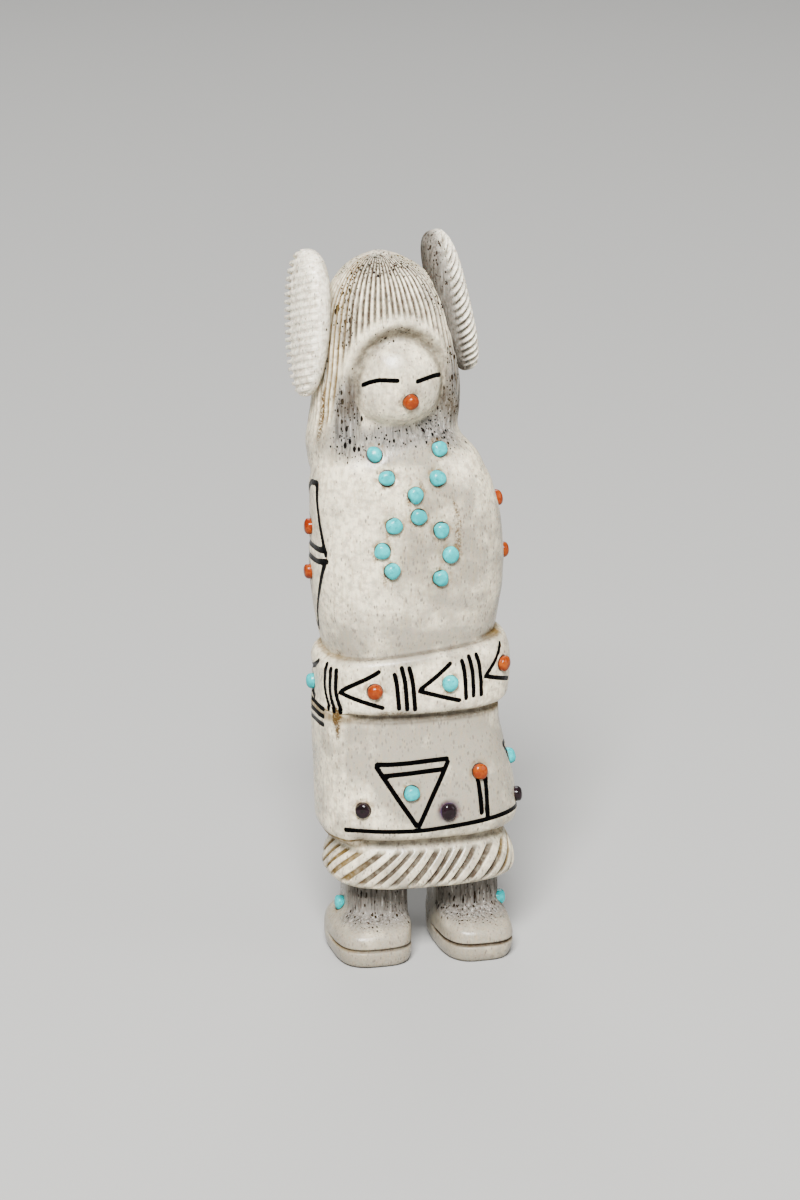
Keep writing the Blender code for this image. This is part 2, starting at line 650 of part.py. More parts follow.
def main():
    for obj in list(bpy.data.objects):
        bpy.data.objects.remove(obj)
    antler = make_material("antler", (0.80, 0.76, 0.68), 0.35)
    kinds = {
        TURQUOISE: make_material("turquoise", (0.16, 0.66, 0.66), 0.3),
        CORAL: make_material("coral", (0.72, 0.16, 0.06), 0.3),
        JET: make_material("jet", (0.03, 0.02, 0.025), 0.2),
    }
    body = make_carving(antler)
    join(body, make_petticoat(antler), "UNION", "petticoat")
    join(body, make_leg("right_leg_form", RIGHT_LEG, antler), "UNION", "right leg")
    join(body, make_leg("left_leg_form", LEFT_LEG, antler), "UNION", "left leg")
    right_form = (RIGHT_WHORL_THICKNESS, RIGHT_WHORL_FOOT_TAPER, RIGHT_WHORL_SWAY)
    left_form = (LEFT_WHORL_THICKNESS, LEFT_WHORL_FOOT_TAPER, LEFT_WHORL_SWAY)
    right = (RIGHT_WHORL_PLACE, -1, right_form)
    left = (LEFT_WHORL_PLACE, 1, left_form)
    make_whorl("hair_whorl_right", *right, RIGHT_WHORL_CUTS_DEG, antler)
    make_whorl("hair_whorl_left", *left, LEFT_WHORL_CUTS_DEG, antler)
    join(body, make_whorl_seat("right_seat_form", *right, antler), "DIFFERENCE", "right seat")
    join(body, make_whorl_seat("left_seat_form", *left, antler), "DIFFERENCE", "left seat")

    sockets = bpy.data.collections.new("sockets")
    bpy.context.scene.collection.children.link(sockets)
    for group, stones in STONES.items():
        for number, (kind, degrees, z) in enumerate(stones, 1):
            name = f"{group}_{number:02d}" if len(stones) > 1 else group
            make_stone(name, *surface_frame(degrees, z), kinds[kind], sockets)
    right_side = leg_side_frame(RIGHT_LEG, RIGHT_LEG_STONE, -1)
    left_side = leg_side_frame(LEFT_LEG, LEFT_LEG_STONE, 1)
    make_stone("leg_stone_right", *right_side, kinds[TURQUOISE], sockets)
    make_stone("leg_stone_left", *left_side, kinds[TURQUOISE], sockets)
    drilling = body.modifiers.new("sockets", "BOOLEAN")
    drilling.operation = "DIFFERENCE"
    drilling.operand_type = "COLLECTION"
    drilling.collection = sockets


main()
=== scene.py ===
"""Looks of the carved antler maiden: the worked surface of each piece, its material, light and camera.

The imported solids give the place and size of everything. The front of the figure faces -Y, its own
left is +X, and it stands on Z = 0. Lengths are in metres. The free carving is drawn in units, as the
solids are, and places on it are written as degrees round from the front and a height in units.
"""

import math
from functools import partial

import bmesh
import bpy
import numpy as np
from mathutils import Matrix, Vector, noise
from mathutils.kdtree import KDTree


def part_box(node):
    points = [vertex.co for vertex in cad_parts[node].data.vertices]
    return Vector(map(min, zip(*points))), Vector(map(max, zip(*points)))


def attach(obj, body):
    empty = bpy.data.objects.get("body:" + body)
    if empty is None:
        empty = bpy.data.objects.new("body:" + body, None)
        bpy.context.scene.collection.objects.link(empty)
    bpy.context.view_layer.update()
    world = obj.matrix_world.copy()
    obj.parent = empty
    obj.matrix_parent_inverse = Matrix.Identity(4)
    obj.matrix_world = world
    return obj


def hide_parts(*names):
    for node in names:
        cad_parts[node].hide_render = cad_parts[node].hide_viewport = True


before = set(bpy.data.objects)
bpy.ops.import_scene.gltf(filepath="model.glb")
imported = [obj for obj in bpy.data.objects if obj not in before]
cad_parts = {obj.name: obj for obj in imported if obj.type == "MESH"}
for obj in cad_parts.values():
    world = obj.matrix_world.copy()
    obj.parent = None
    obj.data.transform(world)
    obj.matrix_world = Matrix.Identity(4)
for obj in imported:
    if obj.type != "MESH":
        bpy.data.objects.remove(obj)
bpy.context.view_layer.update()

MM = 0.001

# Worked sizes, in metres, and shares of them
STONE_DIAMETER = 0.0025
STONE_RISE = 0.0011
STONE_GIRDLE = 0.0002
STONE_SHANK = 0.0012
WHORL_LENGTH = 0.0224
WHORL_DEPTH = 0.0104
FLUTE_DEPTH = 0.0007
BACK_FLUTE_SHARE = 0.35
PETTICOAT_CUT_DEPTH = 0.00055
PETTICOAT_CUT_SHARE = 0.48
SOLE_THICKNESS = 0.0030
SOLE_GROOVE_DEPTH = 0.00045
SOLE_GROOVE_WIDTH = 0.0008
ENGRAVED_DEPTH = 0.00013
SETTING_DEPTH = 0.00016
TOOL_MARKS = 0.00007
# How long the marks of the tools are on the body and on the legs
TORSO_MARK_LENGTH = 3.2 * MM
LEG_MARK_LENGTH = 2.6 * MM
# The hollow round a stone: how far from the stone's middle it is deepest, and how wide it is
HOLLOW_RADIUS = 0.56 * STONE_DIAMETER
HOLLOW_WIDTH = 0.3 * MM

# How much a stone's outline may stray from round, as a share of its radius for a full swing of noise
STONE_WOBBLE = 0.5

# Counts and spacings
FRONT_FLUTES = 27
FLUTE_PITCH_DEG = 6.0
WHORL_CUTS = 18
PETTICOAT_CUTS = 31
BODY_ROWS = 278
LEG_COLUMNS = 112
LEG_ROWS = 56
LINE_STEP = 0.1

# Where the leaning axis of the antler stands off the Z axis: height, X
LEAN = (
    (0, 2.7), (20, 2.6), (30, 1.9), (40, 1.2), (47, 1.4), (52, 0.9), (60, 0.7), (70, 0.4),
    (76, -0.7), (80, -1.9), (85, -3.0), (89, -2.6), (94, -2.4), (100, -2.6), (108, -3.0), (115, -4.2),
)

# Skirt, belt and blanket: height, half width, front depth, back depth
TORSO = (
    (18.4, 12.6, 8.8, 8.6), (21.0, 13.1, 9.4, 9.2), (21.3, 14.5, 10.5, 10.2), (22.1, 15.2, 11.2, 10.8),
    (23.6, 15.55, 11.5, 11.1), (27.0, 15.45, 11.4, 11.0), (35.4, 14.2, 10.4, 10.2),
    (38.2, 13.75, 10.15, 10.05), (40.5, 13.65, 10.1, 10.0), (40.7, 13.2, 9.75, 9.65),
    (41.6, 13.2, 9.75, 9.65), (41.8, 14.3, 10.8, 10.6), (42.8, 15.0, 11.3, 11.1), (48.5, 15.25, 11.4, 11.2),
    (50.4, 14.8, 11.1, 10.9), (51.2, 14.0, 10.5, 10.4), (51.5, 13.2, 9.9, 9.7), (53.2, 13.6, 10.2, 9.9),
    (60.5, 14.7, 10.8, 10.4), (65.0, 14.9, 11.0, 10.4),
    (69.5, 14.75, 11.0, 10.2), (73.5, 14.6, 10.6, 9.9), (77.5, 14.4, 10.0, 9.0), (80.0, 14.1, 9.3, 8.2),
    (82.0, 13.75, 8.6, 7.2), (83.5, 13.1, 7.9, 6.2), (85.0, 12.0, 7.1, 5.2), (86.5, 9.8, 6.2, 4.2),
    (88.5, 6.0, 4.6, 3.0),
)
TORSO_SQUARENESS = 2.75
SHOULDER_DROP_AT_BACK = 8.0
SHOULDER_TILT = 1.5
SHOULDER_FROM = 60.0
SHOULDER_FULL = 74.0
BELT_RISE = 0.09
# A span is four places: where something begins, is full, starts to fade and is gone
BELT_RISE_SPAN = (46.0, 51.0, 54.0, 66.0)

# Hanging end of the sash, on the figure's right side: height, half width
SASH = ((18.4, 12.6), (19.7, 13.6), (20.6, 15.3), (22.5, 16.0), (32.0, 15.5), (42.0, 15.1))
SASH_SPAN_DEG = (-129.0, -123.0, -60.0, -54.0)
SASH_DEPTH = 11.5
SASH_TOP = 42.4

# Hair, a bell that hides the head: height, half width, front depth, back depth
HOOD = (
    (74.0, 7.0, 5.0, 6.0), (75.5, 10.5, 7.5, 9.0), (77.0, 12.2, 9.0, 10.6), (79.0, 12.7, 9.8, 11.2),
    (82.0, 12.3, 10.2, 11.3), (86.0, 11.4, 10.4, 11.1), (90.0, 11.3, 10.4, 10.8),
    (95.0, 10.7, 10.1, 10.3), (100.0, 9.9, 9.6, 9.8), (104.0, 9.1, 8.8, 8.9), (106.8, 8.0, 7.6, 7.7),
    (109.2, 6.2, 5.8, 6.0), (110.6, 4.3, 4.1, 4.2), (111.4, 2.7, 2.6, 2.6), (111.9, 1.1, 1.1, 1.1),
)
# The crown closes just above the last row of the hair, and its height fixes the size of one unit
CROWN_HEIGHT = HOOD[-1][0] + 0.1
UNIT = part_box("body")[1].z / CROWN_HEIGHT
HOOD_SQUARENESS = 2.15
FLUTES_SPAN = (84.5, 87.5, 111.3, 112.0)
FLUTE_SHARE_OF_RADIUS = 0.07
FLUTE_ROUNDNESS = 1.6
COMB_SHARE = 0.7
COMB_FLOOR = 0.3
# The comb lines and the petticoat's cuts fade out here, because their counts don't meet behind
SEAM_DEG = 177.0

# Arched opening cut in the front of the hair, and the face in it
ARCH_HALF_DEG = 53.0
ARCH_FLARE_DEG = 22.0
ARCH_FLARE_TO_LEFT_DEG = 14.0
ARCH_SPRING = 92.5
ARCH_FLARE_HEIGHT = 9.0
ARCH_RISE = 10.2
ARCH_COVE = 0.26
ARCH_FLARE_COVE = 0.35
ARCH_PLAIN_RIM = 1.16
BEND_WIDEST_SHARE = 0.85
BEND_FULL_DEG = 50.0
BEND_GONE_DEG = 90.0
BEND_SPAN = (88.0, 97.0, 104.0, 109.5)
RECESS_RADIUS = 7.4
RECESS_SIDE_RADIUS = 9.6
RECESS_FRONT_DEG = 35.0
RECESS_SIDE_DEG = 75.0
FACE_CENTRE = (0.3, 3.3, 92.8)
FACE_RADIUS = 7.4
FACE_UP = 7.9
FACE_DOWN = 7.1
FACE_SQUARENESS = 2.4
FACE_CREASE = 0.5
NECK_CREASE = 0.6

# Petticoat below the skirt: height, half width, front depth, back depth
PETTICOAT = (
    (12.9, 13.4, 9.6, 9.2), (13.3, 14.5, 10.5, 10.0), (14.3, 15.1, 11.0, 10.5), (19.0, 13.7, 9.8, 9.6),
    (20.2, 12.6, 8.9, 8.7),
)
PETTICOAT_TWIST_DEG = 26.0
PETTICOAT_CUTS_SPAN = (13.4, 14.3, 18.4, 19.3)

# Each leg with its moccasin, by side: which way is outwards along X, the height of its stone and how far
# that sits behind the leg's middle, and the rows: height, X and Y of the centre, half width, half depth
LEGS = {
    "right": (-1, (7.4, 1.0), (
        (0.0, -5.8, -0.9, 5.3, 7.6), (0.5, -5.8, -0.9, 5.9, 8.4), (2.4, -5.9, -0.9, 6.2, 8.8),
        (3.6, -5.9, -0.9, 6.2, 8.8), (4.9, -5.8, -0.8, 6.1, 8.6), (5.9, -5.4, -0.4, 5.8, 7.9),
        (7.0, -4.8, 0.4, 5.15, 6.4), (8.0, -4.5, 0.6, 4.95, 5.8), (11.0, -4.5, 0.6, 4.9, 5.7),
        (16.0, -4.5, 0.6, 4.9, 5.7),
    )),
    "left": (1, (7.5, -3.0), (
        (0.0, 10.5, -1.6, 4.9, 8.6), (0.5, 10.5, -1.6, 5.5, 9.3), (2.4, 10.6, -1.6, 5.9, 9.8),
        (3.6, 10.6, -1.6, 5.9, 9.8), (4.9, 10.5, -1.5, 5.8, 9.6), (5.9, 10.4, -0.9, 5.6, 8.7),
        (7.0, 10.2, 0.2, 5.35, 6.6), (8.0, 10.1, 0.6, 5.2, 5.8), (11.0, 10.1, 0.6, 5.15, 5.7),
        (16.0, 10.1, 0.6, 5.15, 5.7),
    )),
}
LEG_SQUARENESS = 3.2
SOLE_GROOVE_END = -0.35
SOLE_GROOVE_FULL = 0.15

# Saw cuts of the whorls, in degrees round from a whorl's own front
WHORL_FAINT_CUTS_DEG = (2.0, 30.0)
WHORL_CUTS_FULL_DEG = 175.0
WHORL_CUTS_END_DEG = 205.0
WHORL_GROOVED_SHARE = 0.94
# Where the cuts fade out towards both ends, as shares of half a whorl's length
WHORL_CUT_ENDS = (0.985, 0.95)
WHORL_SQUARENESS = 2.6
WHORL_TAPER = 0.12
# Each whorl by its node: centre, degrees of lean in the plane of the face and of turn about the upright,
# then which way is outwards along X, then what its shape asks for. Its thickness shrinks by a share
# towards the foot, its cuts begin and are full at these degrees, and they climb and slant, their
# valleys painted darker with brown soiling and painted shade
WHORLS = {
    "hair_whorl_right": (((-14.8, -0.8, 101.7), 0.0, 14.0), -1.0, {
        "Thickness": 5.0 * MM, "Foot taper": 0.26, "Foot sway": 0.8 * MM, "Begin": 94.0, "Full": 120.0,
        "Climb": 0.0, "Slant back": 0.29, "Slant out": 0.0, "Cut depth": 1.1 * MM, "Cut share": 0.58,
        "Cut floor": 0.36, "Faint share": 0.14, "Soiling and shade": 0.4, "Faint dirt_and_shade": 0.24,
    }),
    "hair_whorl_left": (((7.35, -0.8, 104.0), -14.0, -3.0), 1.0, {
        "Thickness": 5.6 * MM, "Foot taper": 0.12, "Foot sway": 0.2 * MM, "Begin": -14.0, "Full": 2.0,
        "Climb": 13.0, "Slant back": -0.3, "Slant out": -0.8, "Cut depth": 0.8 * MM, "Cut share": 0.9,
        "Cut floor": 0.25, "Faint share": 0.0, "Soiling and shade": 0.75, "Faint dirt_and_shade": 0.0,
    }),
}

# Stones set in the carving, by group: material, degrees round from the front, height
TURQUOISE = "turquoise"
CORAL = "coral"
JET = "jet"
STONES = {
    "necklace_stone": (
        (TURQUOISE, -26, 82.4), (TURQUOISE, 39, 82.7), (TURQUOISE, -19, 79.0), (TURQUOISE, 25, 78.6),
        (TURQUOISE, 1, 76.3), (TURQUOISE, -1, 73.0), (TURQUOISE, -22, 71.8), (TURQUOISE, 15, 70.8),
        (TURQUOISE, -31, 68.0), (TURQUOISE, 21, 66.8), (TURQUOISE, -25, 64.8), (TURQUOISE, 13, 63.2),
    ),
    "mouth_stone": ((CORAL, 6, 90.8),),
    "blanket_stone": ((CORAL, -98, 69.3), (CORAL, -98, 62.4), (CORAL, 82, 73.0), (CORAL, 82, 64.5)),
    "belt_stone": (
        (TURQUOISE, -100, 44.2), (CORAL, -39, 45.8), (TURQUOISE, 16, 46.5), (CORAL, 57, 47.8),
        (TURQUOISE, 113, 46.8), (CORAL, 162, 46.0), (TURQUOISE, -149, 45.2),
    ),
    "skirt_stone": (
        (JET, -49, 26.5), (TURQUOISE, -17, 29.2), (JET, 11, 25.8), (CORAL, 38, 31.5), (JET, 72, 25.4),
        (TURQUOISE, 80, 31.0), (JET, 124, 25.4), (CORAL, 151, 31.2), (JET, 177, 25.6),
        (TURQUOISE, -154, 29.2),
    ),
}
# The stone that has dyed the antler round it: degrees, height
DYED_STONE = (11, 25.8)

# Engraved lines: width in units, then each line as places of degrees and height
BELT_LINES = (
    0.73,
    ((-36, 49.5), (-59, 45.6)), ((-60.5, 45.2), (-34, 43.2)),
    ((-26, 48.8), (-23, 43.0)), ((-20.5, 49.8), (-17, 42.8)), ((-15, 49.6), (-11, 42.7)),
    ((17, 49.4), (-7, 46.0)), ((-8, 45.6), (23.5, 43.6)),
    ((26, 49.5), (28.5, 43.8)), ((31.5, 49.9), (34, 44.0)), ((37, 49.9), (39.5, 44.0)),
    ((58, 50.2), (43, 47.1)), ((42, 46.8), (66, 45.0)),
)
BELT_SIDE_LINES = (
    0.84,
    ((-71.5, 50.3), (-74.5, 45.4), (-69.5, 42.1)), ((-67, 49.6), (-69, 45.2), (-64.8, 42.0)),
    ((-62.5, 49.6), (-63.8, 45.4), (-59.8, 42.1)),
    ((-83, 50.0), (-94, 47.6), (-122, 44.6)), ((-94, 42.2), (-103, 42.6), (-124, 44.2)),
)
HIDDEN_BELT_SIGNS = ((113, 46.8), (162, 46.0), (211, 45.2))
HIDDEN_BELT_BARS_DEG = (37.5, 32, 26.5)
SASH_LINES = (
    0.78,
    ((-75, 41.6), (-97, 41.4), (-108, 41.0)), ((-75, 40.4), (-96, 40.1), (-108, 39.7)),
    ((-75, 39.1), (-97, 38.8), (-108, 38.4)),
)
SKIRT_LINES = (
    0.78,
    ((-40, 33.8), (-28, 33.8), (-1, 34.0), (15, 34.1)), ((-36.5, 32.0), (-15, 32.3), (10.5, 32.5)),
    ((-40.5, 33.4), (-28, 28.7), (-15.5, 23.9)), ((15.5, 33.6), (0, 28.7), (-13.5, 23.8)),
    ((-60, 23.0), (-42, 23.1), (-15, 23.0), (7, 23.2), (40, 23.7), (65, 23.9), (150, 23.7), (229, 23.2)),
    ((66, 34.2), (84, 34.3), (103, 34.2)), ((69, 32.8), (100, 32.8)), ((66, 34.0), (74, 29.6), (84, 24.6)),
    ((103, 34.0), (94, 29.6), (85, 24.6)),
    ((186, 33.8), (206, 33.9), (226, 33.8)), ((190, 32.2), (222, 32.2)), ((186, 33.6), (206, 24.2)),
    ((226, 33.6), (207, 24.2)),
)
POST_LINES = (
    0.84,
    ((36, 30.3), (35.5, 27.8), (35.2, 24.9)), ((41.5, 30.3), (40, 27.2), (39, 23.8)),
    ((149, 30.0), (149, 24.8)), ((154, 30.0), (154, 23.8)),
)
EYE_LINES = (
    0.72,
    ((-37, 93.2), (-33, 93.5), (-29, 93.8), (-20, 94.2), (-6, 94.2)),
    ((11, 93.9), (21, 94.2), (30, 94.3), (40, 94.1)),
)
BLANKET_LINES = (
    0.95,
    ((-74, 77.5), (-76, 74.5), (-76, 71.0), (-72, 68.4), (-69, 66.8)),
    ((-69.5, 67.2), (-82, 66.9), (-104, 66.7), (-127, 67.1)),
    ((-68, 65.6), (-81, 65.0), (-104, 64.8), (-128, 65.1)),
    ((-70, 65.0), (-78.5, 61.0), (-88, 57.4), (-95, 54.4)),
    ((-95, 54.4), (-107, 57.0), (-117, 61.0), (-128, 65.0)),
    ((-75, 77.5), (-86, 77.0), (-96, 75.2), (-104, 72.0), (-113, 69.6), (-126, 67.2)),
    ((90, 70.3), (108, 70.0), (128, 70.3)), ((90, 68.7), (108, 68.4), (128, 68.7)),
    ((90, 70.5), (97, 74.6), (103, 78.0)), ((128, 70.5), (118, 76.0)),
    ((90, 68.5), (99, 63.5), (108, 57.5)), ((128, 68.5), (117, 63.5), (108, 57.5)),
)

# Open, spongy antler: degrees, height, half width in degrees, half height and, where it isn't 1, strength
SPONGY_PLACES = (
    (-60, 105.5, 15, 6.5, 1.8), (-40, 110.8, 56, 2.2, 1.7), (24, 111.0, 64, 1.9, 1.6),
    (54, 106.5, 24, 4.6, 1.2), (180, 109.8, 120, 2.8, 1.3), (-49, 88.0, 12, 7.0),
    (-40, 84.2, 22, 2.8, 0.8), (60, 91.5, 19, 9.0), (44, 85.4, 24, 3.0), (-76, 97.0, 7, 6.0, 0.7),
    (-52, 103.5, 9, 5.0, 1.8), (0, 85.0, 46, 2.2, 0.85), (96, 93.0, 12, 8.0), (0, 100.5, 30, 2.0, 0.3),
)
# Greyer antler, towards the core
GREY_PLACES = (
    (0, 54.0, 95, 5.0, 0.85), (22, 67.0, 52, 17.0, 0.8), (0, 35.5, 100, 8.0, 1.15),
    (14, 28.0, 66, 7.0, 1.05), (60, 58.0, 45, 10.0, 0.7), (0, 83.5, 85, 3.5, 0.9),
    (0, 16.0, 400, 4.5, 0.6), (0, 93.0, 50, 9.0, 0.25), (0, 22.5, 400, 1.6, 0.5),
)
# Brown stains
STAINED_PLACES = (
    (-62.5, 41.2, 3.2, 1.6, 4.0), (-61.5, 39.6, 1.8, 2.2, 2.0), (-98, 60.9, 5.5, 1.6),
    (-67, 52.0, 5.0, 0.7), (8, 70.0, 36, 11.0, 0.25), (66, 52.2, 14, 0.9), (-72, 88.0, 5.0, 5.0, 1.4),
    (-27, 42.2, 14, 0.5),
    (27, 68.5, 3.0, 4.0), (30, 73.0, 2.0, 3.0), (-24, 78.0, 2.4, 1.0), (9, 77.6, 2.2, 1.2),
    (-7, 75.2, 2.4, 1.0), (-5, 72.0, 2.0, 1.0), (-27, 70.8, 2.0, 1.0), (-30, 63.6, 2.0, 1.2),
    (-36, 67.0, 2.0, 1.2),
)
# Creases under the skirt's hem and along both edges of the belt, darkened with painted shade and brown
# soiling
SHADED_DIRTY_CREASES = (
    (0, 20.4, 400, 1.0, 0.7), (0, 40.85, 400, 0.9, 0.82), (0, 51.45, 400, 0.35, 0.8), (62, 51.6, 22, 0.7),
    (0, 21.15, 400, 0.22), (0, 41.68, 400, 0.18),
)

# Heights of the lines on skirt and belt and of the eyes, where the rows are closer together
ENGRAVED_SPANS = ((21.0, 22.5, 51.0, 52.0), (91.0, 92.0, 95.5, 96.5))
ENGRAVED_ROWS_MORE = 0.45

# Where the looks of the body change: where each change begins and is full, or a span
LEG_TOP = (13.2, 12.8)
LEG_FRONT = (0.5 * MM, 3.5 * MM)
SLITS_ABOVE = (5.4, 7.0)
CROWN = (97.0, 101.0)
FACE_EDGE = (-0.5, 0.1)
SIDES_DEG = (44.0, 72.0)
COVE_SPAN = (0.64, 0.78, 0.86, 1.04)
COVE_ABOVE = (85.0, 91.0)
COVE_SIDES_DEG = (88.0, 66.0)
PALE_SASH_SPAN_DEG = (-128.0, -125.0, -59.0, -56.0)
PALE_SASH_BELOW = (43.0, 41.0)
SOLE_DARK_BAND = (0.44, 0.2)
SOLE_FRONT = (0.0, 3.0 * MM)
DYE_REACH = (2.3 * MM, 1.2 * MM)

# What the antler's material reads from each point
ANTLER_NUMBERS = (
    "warm", "spongy", "pored", "drawn", "groove", "grooved", "groove_share", "groove_floor", "grime_and_shade",
    "ochre", "stain", "rim", "dye", "ink",
)

# The view: focal length and height of the picture in pixels, how far the figure stands off its middle,
# and the sensor in millimetres
FOCAL_PIXELS = 3612.0
IMAGE_HEIGHT = 1200.0
OFF_MIDDLE = 2.0
SENSOR = 36.0
# What the camera and the lamps point at, near the middle of the figure
TARGET = Vector((0.0, 0.0, 0.057))

# The kinds of nodes that come up often
RANGE = "ShaderNodeMapRange"
MIX = "ShaderNodeMix"
NOISE = "ShaderNodeTexNoise"
CELLS = "ShaderNodeTexVoronoi"
MAPPING = "ShaderNodeMapping"
VECTOR = "ShaderNodeVectorMath"


def ramp(x, start, end):
    """0 before start, 1 past end, and an easy slope between. It also runs downwards."""
    share = np.clip((x - start) / (end - start), 0.0, 1.0)
    return share * share * (3.0 - 2.0 * share)


def window(x, begin, full, fade, end):
    """1 from full to fade, 0 before begin and past end, and an easy slope on either side."""
    return ramp(x, begin, full) * ramp(x, end, fade)


def soft_max(a, b, reach):
    """The larger of two radii, with the crease between them rounded over this reach."""
    share = np.clip(0.5 + 0.5 * (a - b) / reach, 0.0, 1.0)
    return b + (a - b) * share + reach * share * (1.0 - share)


def profile(knots, column, z):
    """A smooth curve without overshoot through one column of a table of heights."""
    heights = np.array([k[0] for k in knots], float)
    values = np.array([k[column] for k in knots], float)
    step = np.diff(heights)
    slope = np.diff(values) / step
    tangent = np.concatenate([slope[:1], np.zeros(len(slope) - 1), slope[-1:]])
    for i in range(1, len(slope)):
        if slope[i - 1] * slope[i] > 0:
            before, after = 2 * step[i] + step[i - 1], step[i] + 2 * step[i - 1]
            tangent[i] = (before + after) / (before / slope[i - 1] + after / slope[i])
    z = np.clip(z, heights[0], heights[-1])
    i = np.clip(np.searchsorted(heights, z, side="right") - 1, 0, len(step) - 1)
    t = (z - heights[i]) / step[i]
    return (
        (1 + 2 * t) * (1 - t) ** 2 * values[i]
        + t * (1 - t) ** 2 * step[i] * tangent[i]
        + t * t * (3 - 2 * t) * values[i + 1]
        + t * t * (t - 1) * step[i] * tangent[i + 1]
    )


def oval(theta, side, front, back, squareness):
    """Radius of a squarish oval at an angle from the front."""
    across = np.abs(np.sin(theta))
    along = np.cos(theta)
    depth = np.where(along > 0, front, back)
    total = (across / side) ** squareness + (np.abs(along) / depth) ** squareness
    return total ** (-1.0 / squareness)


def table_oval(table, theta, z, squareness):
    return oval(theta, profile(table, 1, z), profile(table, 2, z), profile(table, 3, z), squareness)


def turn_degrees(theta):
    """Degrees round from the front, between -180 and 180."""
    return np.degrees((theta + math.pi) % (2 * math.pi) - math.pi)


def torso_radius(theta, z):
    """Skirt, belt and blanket. The shoulders sit lower at the back and on the right side."""
    drop = SHOULDER_DROP_AT_BACK * (1.0 - np.cos(theta)) / 2.0 - SHOULDER_TILT * np.sin(theta)
    lowered = z + drop * ramp(z, SHOULDER_FROM, SHOULDER_FULL)
    radius = table_oval(TORSO, theta, lowered, TORSO_SQUARENESS)
    radius = np.where(lowered > TORSO[-1][0], 0.0, radius)
    sash = oval(theta, profile(SASH, 1, z), SASH_DEPTH, SASH_DEPTH, TORSO_SQUARENESS)
    hanging = radius + window(turn_degrees(theta), *SASH_SPAN_DEG) * np.maximum(sash - radius, 0.0)
    return np.where(z < SASH_TOP, hanging, radius)


def arch_flare(z):
    """0 in the arch of the opening and 1 at the shoulders, where it is widest."""
    return ramp(z, ARCH_SPRING, ARCH_SPRING - ARCH_FLARE_HEIGHT)


def arch_reach(theta, z):
    """Below 1 inside the arched opening, 1 on its rim. The opening flares towards the shoulders."""
    flare = ARCH_FLARE_DEG + ARCH_FLARE_TO_LEFT_DEG * np.sin(theta)
    half = ARCH_HALF_DEG + flare * arch_flare(z)
    above = np.maximum(z - ARCH_SPRING, 0.0) / ARCH_RISE
    return np.hypot(turn_degrees(theta) / half, above)


def hood_radius(theta, z):
    """Hair with its arched opening cut back to the recess."""
    radius = table_oval(HOOD, theta, z, HOOD_SQUARENESS)
    cove = ARCH_COVE + ARCH_FLARE_COVE * arch_flare(z)
    inside = ramp(arch_reach(theta, z), 1.0, 1.0 - cove)
    aside = ramp(np.abs(turn_degrees(theta)), RECESS_FRONT_DEG, RECESS_SIDE_DEG)
    recess = RECESS_RADIUS + (RECESS_SIDE_RADIUS - RECESS_RADIUS) * aside
    return radius + inside * np.minimum(recess - radius, 0.0)


def bend_to_arch(theta, z):
    """Lowers the rows of the mesh beside the arch, so that they run along its rim."""
    turn = np.abs(turn_degrees(theta))
    share = np.clip(turn / ARCH_HALF_DEG, 0.0, BEND_WIDEST_SHARE)
    fall = ARCH_RISE * (1.0 - np.sqrt(1.0 - share**2)) * ramp(turn, BEND_GONE_DEG, BEND_FULL_DEG)
    return z - fall * window(z, *BEND_SPAN)


def face_radius(theta, z):
    """The ball of the face, seen from the leaning axis. 0 where a ray misses it."""
    aside, ahead, height = FACE_CENTRE
    reach = np.where(z > height, FACE_UP, FACE_DOWN)
    share = np.minimum(np.abs(z - height) / reach, 1.0)
    section = FACE_RADIUS**2 * (1.0 - share**FACE_SQUARENESS)
    along = aside * np.sin(theta) + ahead * np.cos(theta)
    inside = section - aside**2 - ahead**2 + along**2
    hit = (inside > 0) & (section > 0) & (np.cos(theta) > 0)
    return np.where(hit, along + np.sqrt(np.maximum(inside, 0.0)), 0.0)


def carving_radius(theta, z):
    """Radius of the whole carving above the petticoat, without its fine grooves."""
    theta, z = np.broadcast_arrays(np.asarray(theta, float), np.asarray(z, float))
    torso = torso_radius(theta, z)
    head = soft_max(hood_radius(theta, z), face_radius(theta, z), FACE_CREASE)
    return np.where(z > HOOD[0][0], soft_max(torso, head, NECK_CREASE), torso)


def carving_point(theta, z, radius):
    """The point at this angle, height and radius about the leaning axis, in metres. The belt's
    upper edge and the blanket above it climb a little towards the left side."""
    x = profile(LEAN, 1, z) + radius * np.sin(theta)
    y = -radius * np.cos(theta)
    level = z + BELT_RISE * window(z, *BELT_RISE_SPAN) * radius * np.sin(theta)
    return UNIT * np.stack(np.broadcast_arrays(x, y, level), axis=-1)


def place_of(points):
    """Degrees round from the front and height, in units, of points near the carving's surface."""
    level = points[:, 2] / UNIT
    z = level
    for _ in range(4):
        aside = points[:, 0] / UNIT - profile(LEAN, 1, z)
        z = level - BELT_RISE * window(z, *BELT_RISE_SPAN) * aside
    theta = np.arctan2(points[:, 0] / UNIT - profile(LEAN, 1, z), -points[:, 1] / UNIT)
    return theta, z


def surface(theta, z):
    return Vector(carving_point(theta, z, carving_radius(theta, z)))


def surface_frame(degrees, z):
    """A point of the carving and the direction that its surface faces."""
    theta = math.radians(degrees)
    ahead = surface(theta + 0.02, z) - surface(theta - 0.02, z)
    up = surface(theta, z + 0.25) - surface(theta, z - 0.25)
    return surface(theta, z), ahead.cross(up).normalized()


